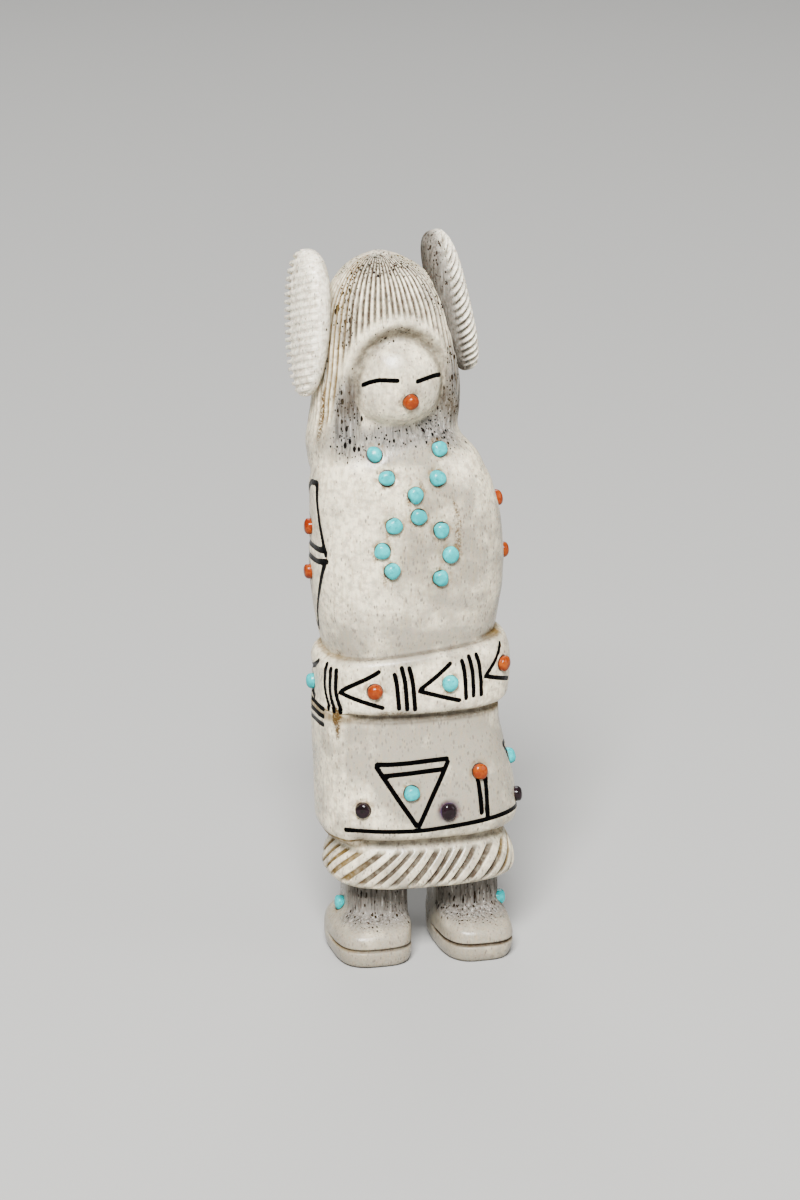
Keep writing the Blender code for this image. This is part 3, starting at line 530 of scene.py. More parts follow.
def comb_lines(theta, z):
    """Comb lines of the hair: a count that is whole in the middle of each, and how far they show."""
    turn = turn_degrees(theta)
    sway = 0.5 * np.sin(0.23 * z + 0.11 * turn) + 0.4 * np.sin(0.09 * turn + 1.7 * np.sin(0.19 * z))
    count = (turn + sway) / FLUTE_PITCH_DEG + (FRONT_FLUTES - 1) / 2.0
    side = FRONT_FLUTES * FLUTE_PITCH_DEG / 2.0
    share = np.maximum(ramp(np.abs(turn), side + 2.0, side - 2.0), BACK_FLUTE_SHARE)
    share = share * ramp(np.abs(turn), SEAM_DEG, SEAM_DEG - 5.0) * window(z, *FLUTES_SPAN)
    return count, share * ramp(arch_reach(theta, z), 1.0, ARCH_PLAIN_RIM)


def petticoat_twist(z):
    """Degrees that the petticoat's cuts still have to go round at a height, to reach its top."""
    low, high = PETTICOAT[1][0], PETTICOAT[-2][0]
    return PETTICOAT_TWIST_DEG * np.clip((high - z) / (high - low), 0.0, 1.0)


def petticoat_cuts(theta, z):
    """Slanting cuts of the petticoat: a count that is whole in each, and how far they show."""
    turn = turn_degrees(theta)
    start = turn + petticoat_twist(z) - PETTICOAT_TWIST_DEG
    count = start * PETTICOAT_CUTS / 360.0 + 0.12 * np.sin(0.13 * start)
    return count, window(z, *PETTICOAT_CUTS_SPAN) * ramp(np.abs(turn), SEAM_DEG, SEAM_DEG - 3.0)


def off_groove(count):
    """How far a count is from a whole number: 0 in a groove, 1 midway between two."""
    return 2.0 * np.abs((count + 0.5) % 1.0 - 0.5)


def figure_radius(theta, z):
    """Radius of the carving above the legs, with its comb lines and the petticoat's cuts."""
    carved = carving_radius(theta, z)
    count, share = comb_lines(theta, z)
    depth = np.minimum(FLUTE_DEPTH / UNIT, FLUTE_SHARE_OF_RADIUS * carved)
    skirt = carved - depth * share * (1.0 - off_groove(count)) ** FLUTE_ROUNDNESS
    skirt = np.where(z >= TORSO[0][0], skirt, 0.0)
    count, share = petticoat_cuts(theta, z)
    cut = ramp(off_groove(count), PETTICOAT_CUT_SHARE, 0.65 * PETTICOAT_CUT_SHARE) * share
    petticoat = table_oval(PETTICOAT, theta, z, TORSO_SQUARENESS) - PETTICOAT_CUT_DEPTH / UNIT * cut
    return np.where(z <= PETTICOAT[-1][0], np.maximum(skirt, petticoat), skirt)


def stretch(start, end, step):
    """Values from start up to, but not at, end."""
    return np.linspace(start, end, round((end - start) / step), endpoint=False)


def body_columns():
    """Angles round the figure, closer together on the worked front than behind."""
    spans = (stretch(-125, -81, 1.2), stretch(-81, 81, 1.0), stretch(81, 100, 1.3), stretch(100, 235, 1.7))
    return np.radians(np.concatenate(spans))


def body_rows():
    """Heights spaced evenly along the outline, closer together where lines are engraved."""
    z = np.linspace(PETTICOAT[0][0], CROWN_HEIGHT - 0.04, 6000)
    step = np.hypot(np.diff(z), np.diff(figure_radius(math.radians(100), z)))
    middle = (z[1:] + z[:-1]) / 2.0
    engraved = sum(window(middle, *span) for span in ENGRAVED_SPANS)
    along = np.concatenate([[0.0], np.cumsum(step * (1.0 + ENGRAVED_ROWS_MORE * engraved))])
    return np.interp(np.linspace(0.0, along[-1], BODY_ROWS), along, z)


def line_points(places):
    """Points close together along a smooth line through places on the carving."""
    knots = np.array(places, float)
    knots = np.concatenate([[2 * knots[0] - knots[1]], knots, [2 * knots[-1] - knots[-2]]])
    points = []
    for before, start, end, after in zip(knots, knots[1:], knots[2:], knots[3:]):
        length = math.hypot(0.24 * (end[0] - start[0]), end[1] - start[1])
        t = np.linspace(0.0, 1.0, 2 + int(length / LINE_STEP))[:, None]
        bend = (end - before) * t + (2 * before - 5 * start + 4 * end - after) * t**2
        bend = bend + (3 * start - before - 3 * end + after) * t**3
        degrees, z = (start + bend / 2.0).T
        theta = np.radians(degrees)
        points.append(carving_point(theta, z, carving_radius(theta, z)))
    return np.concatenate(points)


def belt_sign(degrees, z):
    """Three bars and an open angle round a stone of the belt, for the sides that don't show."""
    bars = [((degrees - d, z + 3.2), (degrees - d + 2.0, z - 3.0)) for d in HIDDEN_BELT_BARS_DEG]
    angle = ((degrees, z + 3.0), (degrees - 19, z - 0.5)), ((degrees - 19, z - 0.8), (degrees + 4, z - 2.9))
    return (*bars, *angle)


def engraved_tree():
    """Search tree of points on every engraved line, and half of each point's line width."""
    hidden = [line for sign in HIDDEN_BELT_SIGNS for line in belt_sign(*sign)]
    groups = (
        BELT_LINES, (BELT_LINES[0], *hidden), BELT_SIDE_LINES, SASH_LINES, SKIRT_LINES, POST_LINES,
        EYE_LINES, BLANKET_LINES,
    )
    points, halves = [], []
    for width, *lines in groups:
        for line in lines:
            found = line_points(line)
            points.append(found)
            halves.append(np.full(len(found), width * UNIT / 2.0))
    return make_tree(np.concatenate(points)), np.concatenate(halves)


def make_tree(points):
    tree = KDTree(len(points))
    for i, point in enumerate(points):
        tree.insert(point, i)
    tree.balance()
    return tree


def nearest(tree, points):
    """Distance to the nearest point of a tree, and which it is."""
    found = [tree.find(p) for p in points]
    return np.array([f[2] for f in found]), np.array([f[1] for f in found])


def leg_side_frame(table, place, outward):
    """A point on the outer side of a leg and the way it faces."""
    z, behind = place
    x, y, half_width, half_depth = (float(profile(table, column, z)) for column in (1, 2, 3, 4))
    share = abs(behind) / half_depth
    aside = half_width * (1.0 - share**LEG_SQUARENESS) ** (1.0 / LEG_SQUARENESS)
    point = UNIT * Vector((x + outward * aside, y + behind, z))
    power = LEG_SQUARENESS - 1.0
    steep = (aside / half_width) ** power / half_width
    easy = math.copysign(share**power / half_depth, behind)
    return point, Vector((outward * steep, easy, 0.0)).normalized()


def stone_seats():
    """Each stone's node name, material, place and direction."""
    seats = []
    for group, stones in STONES.items():
        for number, (kind, degrees, z) in enumerate(stones, 1):
            name = f"{group}_{number:02d}" if len(stones) > 1 else group
            seats.append((name, kind, *surface_frame(degrees, z)))
    for side, (outward, place, table) in LEGS.items():
        seats.append((f"leg_stone_{side}", TURQUOISE, *leg_side_frame(table, place, outward)))
    return seats


def new_object(name, data):
    """An object in the scene, at the origin."""
    obj = bpy.data.objects.new(name, data)
    bpy.context.scene.collection.objects.link(obj)
    return obj


def finished_mesh(obj):
    """The plain mesh that an object's modifiers make."""
    return bpy.data.meshes.new_from_object(obj.evaluated_get(bpy.context.evaluated_depsgraph_get()))


def closed_form(name, rows):
    """A closed form through rings of points, with a fan at either end."""
    rings, columns = rows.shape[:2]
    points = np.concatenate([rows.reshape(-1, 3), [rows[0].mean(axis=0)], [rows[-1].mean(axis=0)]])
    low, high = rings * columns, rings * columns + 1
    last = low - columns
    faces = []
    for start in range(0, last, columns):
        for c in range(columns):
            a, b = start + c, start + (c + 1) % columns
            faces.append((a, b, b + columns, a + columns))
    faces += [((c + 1) % columns, c, low) for c in range(columns)]
    faces += [(last + c, last + (c + 1) % columns, high) for c in range(columns)]
    mesh = bpy.data.meshes.new(name)
    mesh.from_pydata(points.tolist(), [], faces)
    return new_object(name, mesh)


def worked(points, seats, mark_length, cut=0.0):
    """A grid of points sunk by what is cut in it, by the hollows round the stones and by tool marks."""
    flat = points.reshape(-1, 3)
    ahead = np.roll(points, -1, axis=1) - np.roll(points, 1, axis=1)
    normal = np.cross(ahead, np.gradient(points, axis=0))
    normal = normal / np.maximum(np.linalg.norm(normal, axis=2, keepdims=True), 1e-12)
    beside = (nearest(seats, flat)[0] - HOLLOW_RADIUS) / HOLLOW_WIDTH
    hollow = SETTING_DEPTH * np.exp(-(beside**2))
    marks = TOOL_MARKS * np.array([noise.noise(Vector(p) / mark_length) for p in flat])
    return points - normal * (cut + hollow + marks).reshape(points.shape[:2])[..., None]


def carved_form(lines, halves, seats):
    """The figure above the legs, with tool marks, engraved lines and the hollows the stones sit in."""
    theta, levels = np.meshgrid(body_columns(), body_rows())
    theta = theta - np.radians(petticoat_twist(levels))
    z = bend_to_arch(theta, levels)
    points = carving_point(theta, z, figure_radius(theta, z))
    reach, which = nearest(lines, points.reshape(-1, 3))
    engraved = ENGRAVED_DEPTH * ramp(reach, 1.15 * halves[which], 0.5 * halves[which])
    rows = worked(points, seats, TORSO_MARK_LENGTH, engraved)
    rows[0, :, 2] = PETTICOAT[0][0] * UNIT
    return closed_form("carving_form", rows)


def leg_point(table, theta, z):
    x, y, half_width, half_depth = (profile(table, column, z) for column in (1, 2, 3, 4))
    radius = oval(theta, half_width, half_depth, half_depth, LEG_SQUARENESS)
    sole = np.abs(z - SOLE_THICKNESS / UNIT) / (SOLE_GROOVE_WIDTH / UNIT / 2.0)
    groove = ramp(sole, 1.0, 0.2) * ramp(np.cos(theta), SOLE_GROOVE_END, SOLE_GROOVE_FULL)
    radius = radius - SOLE_GROOVE_DEPTH / UNIT * groove
    ring = np.broadcast_arrays(x + radius * np.sin(theta), y - radius * np.cos(theta), z)
    return UNIT * np.stack(ring, axis=-1)


def leg_form(name, table, seats):
    """A leg with its moccasin and the line of its sole, its rows closer together there."""
    theta = np.linspace(-math.pi, math.pi, LEG_COLUMNS, endpoint=False)
    fine = np.linspace(0.0, table[-1][0], 2000)
    dense = 1.0 + 1.5 * ramp(np.abs(fine - SOLE_THICKNESS / UNIT), 0.9, 0.4) + ramp(fine, 0.8, 0.3)
    along = np.cumsum(dense)
    levels = np.interp(np.linspace(along[0], along[-1], LEG_ROWS), along, fine)
    rows = worked(leg_point(table, *np.meshgrid(theta, levels)), seats, LEG_MARK_LENGTH)
    rows[..., 2] = np.maximum(rows[..., 2], 0.0)
    rows[0, :, 2] = 0.0
    return closed_form(name, rows)


def patch(turn, z, degrees, height, half_turn, half_height, strength=1.0):
    """A soft oval patch on the carving: its strength in its middle, 0 outside."""
    aside = (turn - degrees + 180.0) % 360.0 - 180.0
    return strength * ramp(np.hypot(aside / half_turn, (z - height) / half_height), 1.25, 0.45)


def patches(turn, z, places):
    return np.max([patch(turn, z, *place) for place in places], axis=0)


def store(mesh, numbers):
    """Keeps numbers with each point of a mesh, under their names."""
    for name, value in numbers.items():
        values = np.empty(len(mesh.vertices), np.float32)
        values[:] = value
        mesh.attributes.new(name, "FLOAT", "POINT").data.foreach_set("value", values)


def mesh_points(mesh):
    points = np.empty(3 * len(mesh.vertices), np.float32)
    mesh.vertices.foreach_get("co", points)
    return points.reshape(-1, 3).astype(float)


def read_body_surface(mesh, lines, halves, seats):
    """Stores what the antler's material asks of each point of the body."""
    points = mesh_points(mesh)
    theta, z = place_of(points)
    turn = turn_degrees(theta)
    above = z > PETTICOAT[0][0] + 0.1
    legs = ramp(z, *LEG_TOP)
    reach, which = nearest(lines, carving_point(theta, z, carving_radius(theta, z)))
    from_dyed = np.linalg.norm(points - np.array(surface_frame(*DYED_STONE)[0]), axis=1)

    # Painted shade, tinted with brown soiling, lies in the cove under the arch of the hair and in the
    # creases, and a dark band runs along the front of each sole's groove, more on the left foot
    cove = window(arch_reach(theta, z), *COVE_SPAN) * ramp(z, *COVE_ABOVE)
    cove = cove * ramp(np.abs(turn), *COVE_SIDES_DEG)
    sole = ramp(np.abs(z - SOLE_THICKNESS / UNIT), *SOLE_DARK_BAND) * ramp(-points[:, 1], *SOLE_FRONT)
    sole = sole * (0.75 + 0.25 * (points[:, 0] > 3.0 * MM))
    # The core shows in the hair, beside the face and down the fronts of the legs
    on_face = ramp(face_radius(theta, z) - hood_radius(theta, z), *FACE_EDGE)
    spongy = np.where(above, patches(turn, z, SPONGY_PLACES), 0.0) * (1.0 - on_face)
    spongy = np.maximum(spongy, legs * ramp(-points[:, 1], *LEG_FRONT) * ramp(z, *SLITS_ABOVE))
    # The sash stays pale over the grey of the skirt
    hanging = window(turn, *PALE_SASH_SPAN_DEG) * ramp(z, *PALE_SASH_BELOW)
    warm = 1.0 - patches(turn, z, GREY_PLACES) * (1.0 - 0.75 * hanging)
    comb, combed = comb_lines(theta, z)
    pleat, pleated = petticoat_cuts(theta, z)
    low = z < TORSO[1][0]
    store(mesh, {
        "groove": np.where(low, pleat, comb),
        "grooved": above * np.where(low, pleated, combed),
        "groove_share": np.where(low, PETTICOAT_CUT_SHARE, COMB_SHARE),
        "groove_floor": np.where(low, 0.78 * PETTICOAT_CUT_SHARE, COMB_FLOOR),
        "ink": (reach - halves[which]) / MM,
        "rim": (nearest(seats, points)[0] - STONE_DIAMETER / 2.0) / MM,
        "drawn": legs,
        "pored": spongy,
        "spongy": np.minimum(spongy, 1.0) * (1.0 - 0.62 * ramp(z, *CROWN)),
        "warm": np.where(above, warm, -0.1),
        "ochre": ramp(np.abs(turn), *SIDES_DEG),
        "grime_and_shade": np.maximum.reduce([0.78 * cove, patches(turn, z, SHADED_DIRTY_CREASES), sole]),
        "stain": np.where(above, patches(turn, z, STAINED_PLACES), 0.25 * legs),
        "dye": ramp(from_dyed, *DYE_REACH),
    })


def union(base, others):
    """One closed mesh out of several closed forms. The forms are removed."""
    for other in others:
        modifier = base.modifiers.new(other.name, "BOOLEAN")
        modifier.operation = "UNION"
        modifier.object = other
    mesh = finished_mesh(base)
    for obj in (base, *others):
        bpy.data.objects.remove(obj)
    return mesh


def add_piece(name, mesh, material, node):
    """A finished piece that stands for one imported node."""
    mesh.materials.clear()
    mesh.materials.append(material)
    mesh.shade_smooth()
    piece = new_object(name, mesh)
    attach(piece, "root")
    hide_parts(node)


def make_body(material):
    seats = make_tree([seat[2] for seat in stone_seats()])
    lines, halves = engraved_tree()
    legs = [leg_form(f"{side}_leg_form", leg[-1], seats) for side, leg in LEGS.items()]
    mesh = union(carved_form(lines, halves, seats), legs)
    read_body_surface(mesh, lines, halves, seats)
    add_piece("carved_body", mesh, material, "body")


def feed(tree, node, feeds):
    """Feeds a node's inputs, by name or place, with values or other nodes."""
    for key, value in feeds.items():
        if isinstance(value, bpy.types.Node):
            value = value.outputs[0]
        if isinstance(value, bpy.types.NodeSocket):
            tree.links.new(value, node.inputs[key])
        else:
            node.inputs[key].default_value = value


def add(tree, kind, *feeds, **settings):
    """Adds a node with its settings and feeds, these in the order of its inputs or as one dict. A kind
    in capitals is an operation of the maths node."""
    if kind.isupper():
        kind, settings["operation"] = "ShaderNodeMath", kind
    node = tree.nodes.new(kind)
    for name, value in settings.items():
        setattr(node, name, value)
    as_dict = bool(feeds) and isinstance(feeds[0], dict)
    feed(tree, node, feeds[0] if as_dict else dict(enumerate(feeds)))
    return node


def new_shape_tree(name, sizes):
    """An empty geometry tree with a named input for each size and the material, and one mesh out."""
    tree = bpy.data.node_groups.new(name, "GeometryNodeTree")
    for size in sizes:
        tree.interface.new_socket(size, in_out="INPUT", socket_type="NodeSocketFloat")
    tree.interface.new_socket("Material", in_out="INPUT", socket_type="NodeSocketMaterial")
    tree.interface.new_socket("Geometry", in_out="OUTPUT", socket_type="NodeSocketGeometry")
    return tree, partial(add, tree), tree.nodes.new("NodeGroupInput").outputs


def end_shape_tree(put, geometry, material):
    real = put("GeometryNodeRealizeInstances", geometry)
    painted = put("GeometryNodeSetMaterial", {"Geometry": real, "Material": material})
    put("NodeGroupOutput", painted)


def mesh_from_tree(name, tree, values):
    """The plain mesh that a geometry tree makes with these values of its named inputs."""
    holder = new_object(name, bpy.data.meshes.new(name))
    modifier = holder.modifiers.new("shape", "NODES")
    modifier.node_group = tree
    for item in tree.interface.items_tree:
        if item.in_out == "INPUT":
            modifier[item.identifier] = values[item.name]
    mesh = finished_mesh(holder)
    bpy.data.objects.remove(holder)
    return mesh


def whorl_tree(sizes):
    """A plump oval of antler, upright on its own axis, with saw cuts round its outer side."""
    tree, put, given = new_shape_tree("whorl", sizes)
    soft = {"interpolation_type": "SMOOTHSTEP"}
    ball = put("GeometryNodeMeshUVSphere", {"Segments": 72, "Rings": 280, "Radius": 1.0})
    x, y, way = put("ShaderNodeSeparateXYZ", put("GeometryNodeInputPosition")).outputs
    off = put("ABSOLUTE", way)
    across = put("SQRT", put("SUBTRACT", 1.0, put("MULTIPLY", way, way)))
    foot = put("POWER", put("MULTIPLY_ADD", way, -0.5, 0.5), 2.0)
    thinner = put("SUBTRACT", 1.0, put("MULTIPLY", foot, given["Foot taper"]))
    wider = put("MULTIPLY_ADD", way, WHORL_TAPER, 1.0)
    places = []
    for axis, size, power, root, share in (
        (x, "Thickness", 3.4, 1.0 / 3.0, thinner), (y, "Depth", 2.4, 1.0 / 2.2, wider),
    ):
        swell = put("POWER", put("SUBTRACT", 1.0, put("POWER", off, power)), root)
        side = put("DIVIDE", axis, across)
        squarish = put("POWER", put("ABSOLUTE", side), 2.0 / WHORL_SQUARENESS)
        signed = put("MULTIPLY", squarish, put("SIGN", side))
        half = put("MULTIPLY", signed, put("MULTIPLY", given[size], 0.5))
        places.append(put("MULTIPLY", half, put("MULTIPLY", swell, share)))
    swayed = put("MULTIPLY_ADD", foot, given["Foot sway"], places[0])
    along = put("MULTIPLY", way, put("MULTIPLY", given["Length"], 0.5))
    place = put("ShaderNodeCombineXYZ", put("MULTIPLY", swayed, given["Outward"]), places[1], along)

    angle = put("ARCTAN2", x, put("MULTIPLY", y, -1.0))
    degrees = put("DEGREES", put("WRAP", angle, 1.5 * math.pi, -0.5 * math.pi))
    faint = put(RANGE, degrees, *WHORL_FAINT_CUTS_DEG, **soft)
    climbed = put("SUBTRACT", degrees, put("MULTIPLY", way, given["Climb"]))
    deep = put(RANGE, climbed, given["Begin"], given["Full"], **soft)
    to_back = put(RANGE, degrees, WHORL_CUTS_END_DEG, WHORL_CUTS_FULL_DEG, **soft)
    kept_off = put("MULTIPLY", put(RANGE, off, *WHORL_CUT_ENDS, **soft), to_back)
    # The cuts slant towards the back, and outwards more at the upper end than at the foot
    slant = put("MULTIPLY", put("MULTIPLY_ADD", way, 0.4, 0.6), given["Slant out"])
    slanted = put("MULTIPLY_ADD", places[1], given["Slant back"], along)
    slanted = put("MULTIPLY_ADD", places[0], slant, slanted)
    pitch = put("MULTIPLY", given["Length"], WHORL_GROOVED_SHARE / WHORL_CUTS)
    count = put("ADD", put("DIVIDE", slanted, pitch), (WHORL_CUTS - 1.5) / 2.0)
    aside = put("MULTIPLY", put("PINGPONG", count, 0.5), 2.0)
    cut = put(RANGE, aside, given["Cut share"], given["Cut floor"], **soft)
    shown = put("MAXIMUM", put("MULTIPLY", faint, given["Faint share"]), deep)
    # How much darker the cuts' valleys are painted: brown soiling and painted shade
    deep_dirt_and_shade = put("MULTIPLY", deep, given["Soiling and shade"])
    dirty_and_shaded = put("MAXIMUM", put("MULTIPLY", faint, given["Faint dirt_and_shade"]), deep_dirt_and_shade)
    # The cuts are kept with each point before the ball is drawn out to its form
    kept = ball
    for name, value in (
        ("groove", count), ("grooved", put("MULTIPLY", dirty_and_shaded, kept_off)),
        ("cut", put("MULTIPLY", cut, put("MULTIPLY", shown, kept_off))),
    ):
        kept = put(
            "GeometryNodeStoreNamedAttribute", {"Geometry": kept, "Name": name, "Value": value},
            data_type="FLOAT", domain="POINT",
        )
    plain = put("GeometryNodeSetPosition", {"Geometry": kept, "Position": place})
    read = put("GeometryNodeInputNamedAttribute", {"Name": "cut"}, data_type="FLOAT")
    inwards = put("MULTIPLY", given["Outward"], -1.0)
    sunk = put("MULTIPLY", put("MULTIPLY", read, given["Cut depth"]), inwards)
    offset = put(VECTOR, {0: put("GeometryNodeInputNormal"), "Scale": sunk}, operation="SCALE")
    cut_form = put("GeometryNodeSetPosition", {"Geometry": plain, "Offset": offset})
    end_shape_tree(put, cut_form, given["Material"])
    return tree


def make_whorl(node, tree, place, outward, sizes, material):
    common = {"Length": WHORL_LENGTH, "Depth": WHORL_DEPTH, "Outward": outward, "Material": material}
    mesh = mesh_from_tree(node + "_form", tree, {**common, **sizes})
    across, _, up = mesh_points(mesh).T
    centre, lean, turn = place
    turned = Matrix.Rotation(math.radians(lean), 4, "Y") @ Matrix.Rotation(math.radians(turn), 4, "Z")
    mesh.transform(Matrix.Translation(UNIT * Vector(centre)) @ turned)
    face_outwards(mesh)
    inner = ramp(-outward * across, -1.3 * MM, 1.0 * MM)
    top = ramp(up, 2.0 * MM, 8.5 * MM)
    on_left = outward > 0
    # On its inner side, against the hair, the left whorl shows its pored grey core, and both whorls are
    # painted darker there with shade and some brown soiling
    store(mesh, {
        "pored": inner * (1.1 * top if on_left else 0.1), "spongy": inner * (0.9 if on_left else 0.15),
        "grime_and_shade": inner * (0.6 if on_left else 0.2), "warm": 1.0, "groove_share": sizes["Cut share"],
        "groove_floor": 0.5 * sizes["Cut floor"], "ink": 9.0, "rim": 9.0, "drawn": 0.0, "stain": 0.0,
        "dye": 0.0, "ochre": 0.0 if on_left else 1.0,
    })
    add_piece(node + "_cut", mesh, material, node)


def face_outwards(mesh):
    bm = bmesh.new()
    bm.from_mesh(mesh)
    bmesh.ops.recalc_face_normals(bm, faces=bm.faces)
    bm.to_mesh(mesh)
    bm.free()


def cabochon_tree():
    """A low domed stone on its shank, its outline a little uneven, upright on the Z axis."""
    tree, put, given = new_shape_tree("cabochon", ("Diameter", "Rise", "Girdle", "Shank", "Wobble", "Seed"))
    ball = put("GeometryNodeMeshUVSphere", {"Segments": 40, "Rings": 28, "Radius": 1.0})
    position = put("GeometryNodeInputPosition")
    _, _, z = put("ShaderNodeSeparateXYZ", position).outputs
    upper = put("GREATER_THAN", z, 0.0)
    outline = put(VECTOR, position, (1.0, 1.0, 0.0), operation="MULTIPLY")
    across = put(VECTOR, outline, operation="LENGTH").outputs["Value"]
    power = put(MIX, {"Factor": upper, 2: 0.12, 3: 0.82}, data_type="FLOAT")
    spread = put("MULTIPLY", put("POWER", across, power), put("MULTIPLY", given["Diameter"], 0.5))
    flat = put(VECTOR, {0: put(VECTOR, outline, operation="NORMALIZE"), "Scale": spread}, operation="SCALE")
    dome = put("SUBTRACT", given["Rise"], given["Girdle"])
    raised = put("MULTIPLY_ADD", put("POWER", z, 0.85), dome, given["Girdle"])
    level = put(MIX, {"Factor": upper, 2: put("MULTIPLY", z, given["Shank"]), 3: raised}, data_type="FLOAT")
    place = put(VECTOR, flat, put("ShaderNodeCombineXYZ", {2: level}), operation="ADD")
    plain = put("GeometryNodeSetPosition", {"Geometry": ball, "Position": place})
    # Read again after that, the position is the stone's own, so its bumps are some 1.5 mm long
    uneven = put(
        NOISE, {"Vector": position, "W": given["Seed"], "Scale": 700.0, "Detail": 0.5},
        noise_dimensions="4D",
    )
    wobble = put("MULTIPLY", put("SUBTRACT", uneven, 0.53), given["Wobble"])
    shift = put(VECTOR, {0: outline, "Scale": wobble}, operation="SCALE")
    uneven_form = put("GeometryNodeSetPosition", {"Geometry": plain, "Offset": shift})
    end_shape_tree(put, uneven_form, given["Material"])
    return tree


def make_stones(materials):
    """One domed stone in each seat, no two alike."""
    tree = cabochon_tree()
    rng = np.random.default_rng(11)
    for name, kind, point, normal in stone_seats():
        values = {
            "Diameter": STONE_DIAMETER * rng.uniform(0.95, 1.02),
            "Rise": STONE_RISE * rng.uniform(0.86, 1.0),
            "Girdle": STONE_GIRDLE, "Shank": STONE_SHANK, "Wobble": STONE_WOBBLE,
            "Seed": float(rng.uniform(0.0, 50.0)), "Material": materials[kind],
        }
        mesh = mesh_from_tree(name + "_form", tree, values)
        spin = Matrix.Rotation(rng.uniform(0.0, 2 * math.pi), 4, "Z")
        upright = normal.to_track_quat("Z", "Y").to_matrix().to_4x4()
        mesh.transform(Matrix.Translation(point) @ upright @ spin)
        face_outwards(mesh)
        store(mesh, {"tone": rng.uniform(0.0, 1.0)})
        add_piece(name + "_cabochon", mesh, materials[kind], name)


def linear(hex_colour):
    """An sRGB hex colour as the linear values that a shader takes."""
    parts = [int(hex_colour[i : i + 2], 16) / 255.0 for i in (1, 3, 5)]
    return (*[p / 12.92 if p <= 0.04045 else ((p + 0.055) / 1.055) ** 2.4 for p in parts], 1.0)


def new_material(name):
    """A material, its shader and what adds nodes to it."""
    material = bpy.data.materials.new(name)
    material.use_nodes = True
    tree = material.node_tree
    return material, tree.nodes["Principled BSDF"], partial(add, tree)


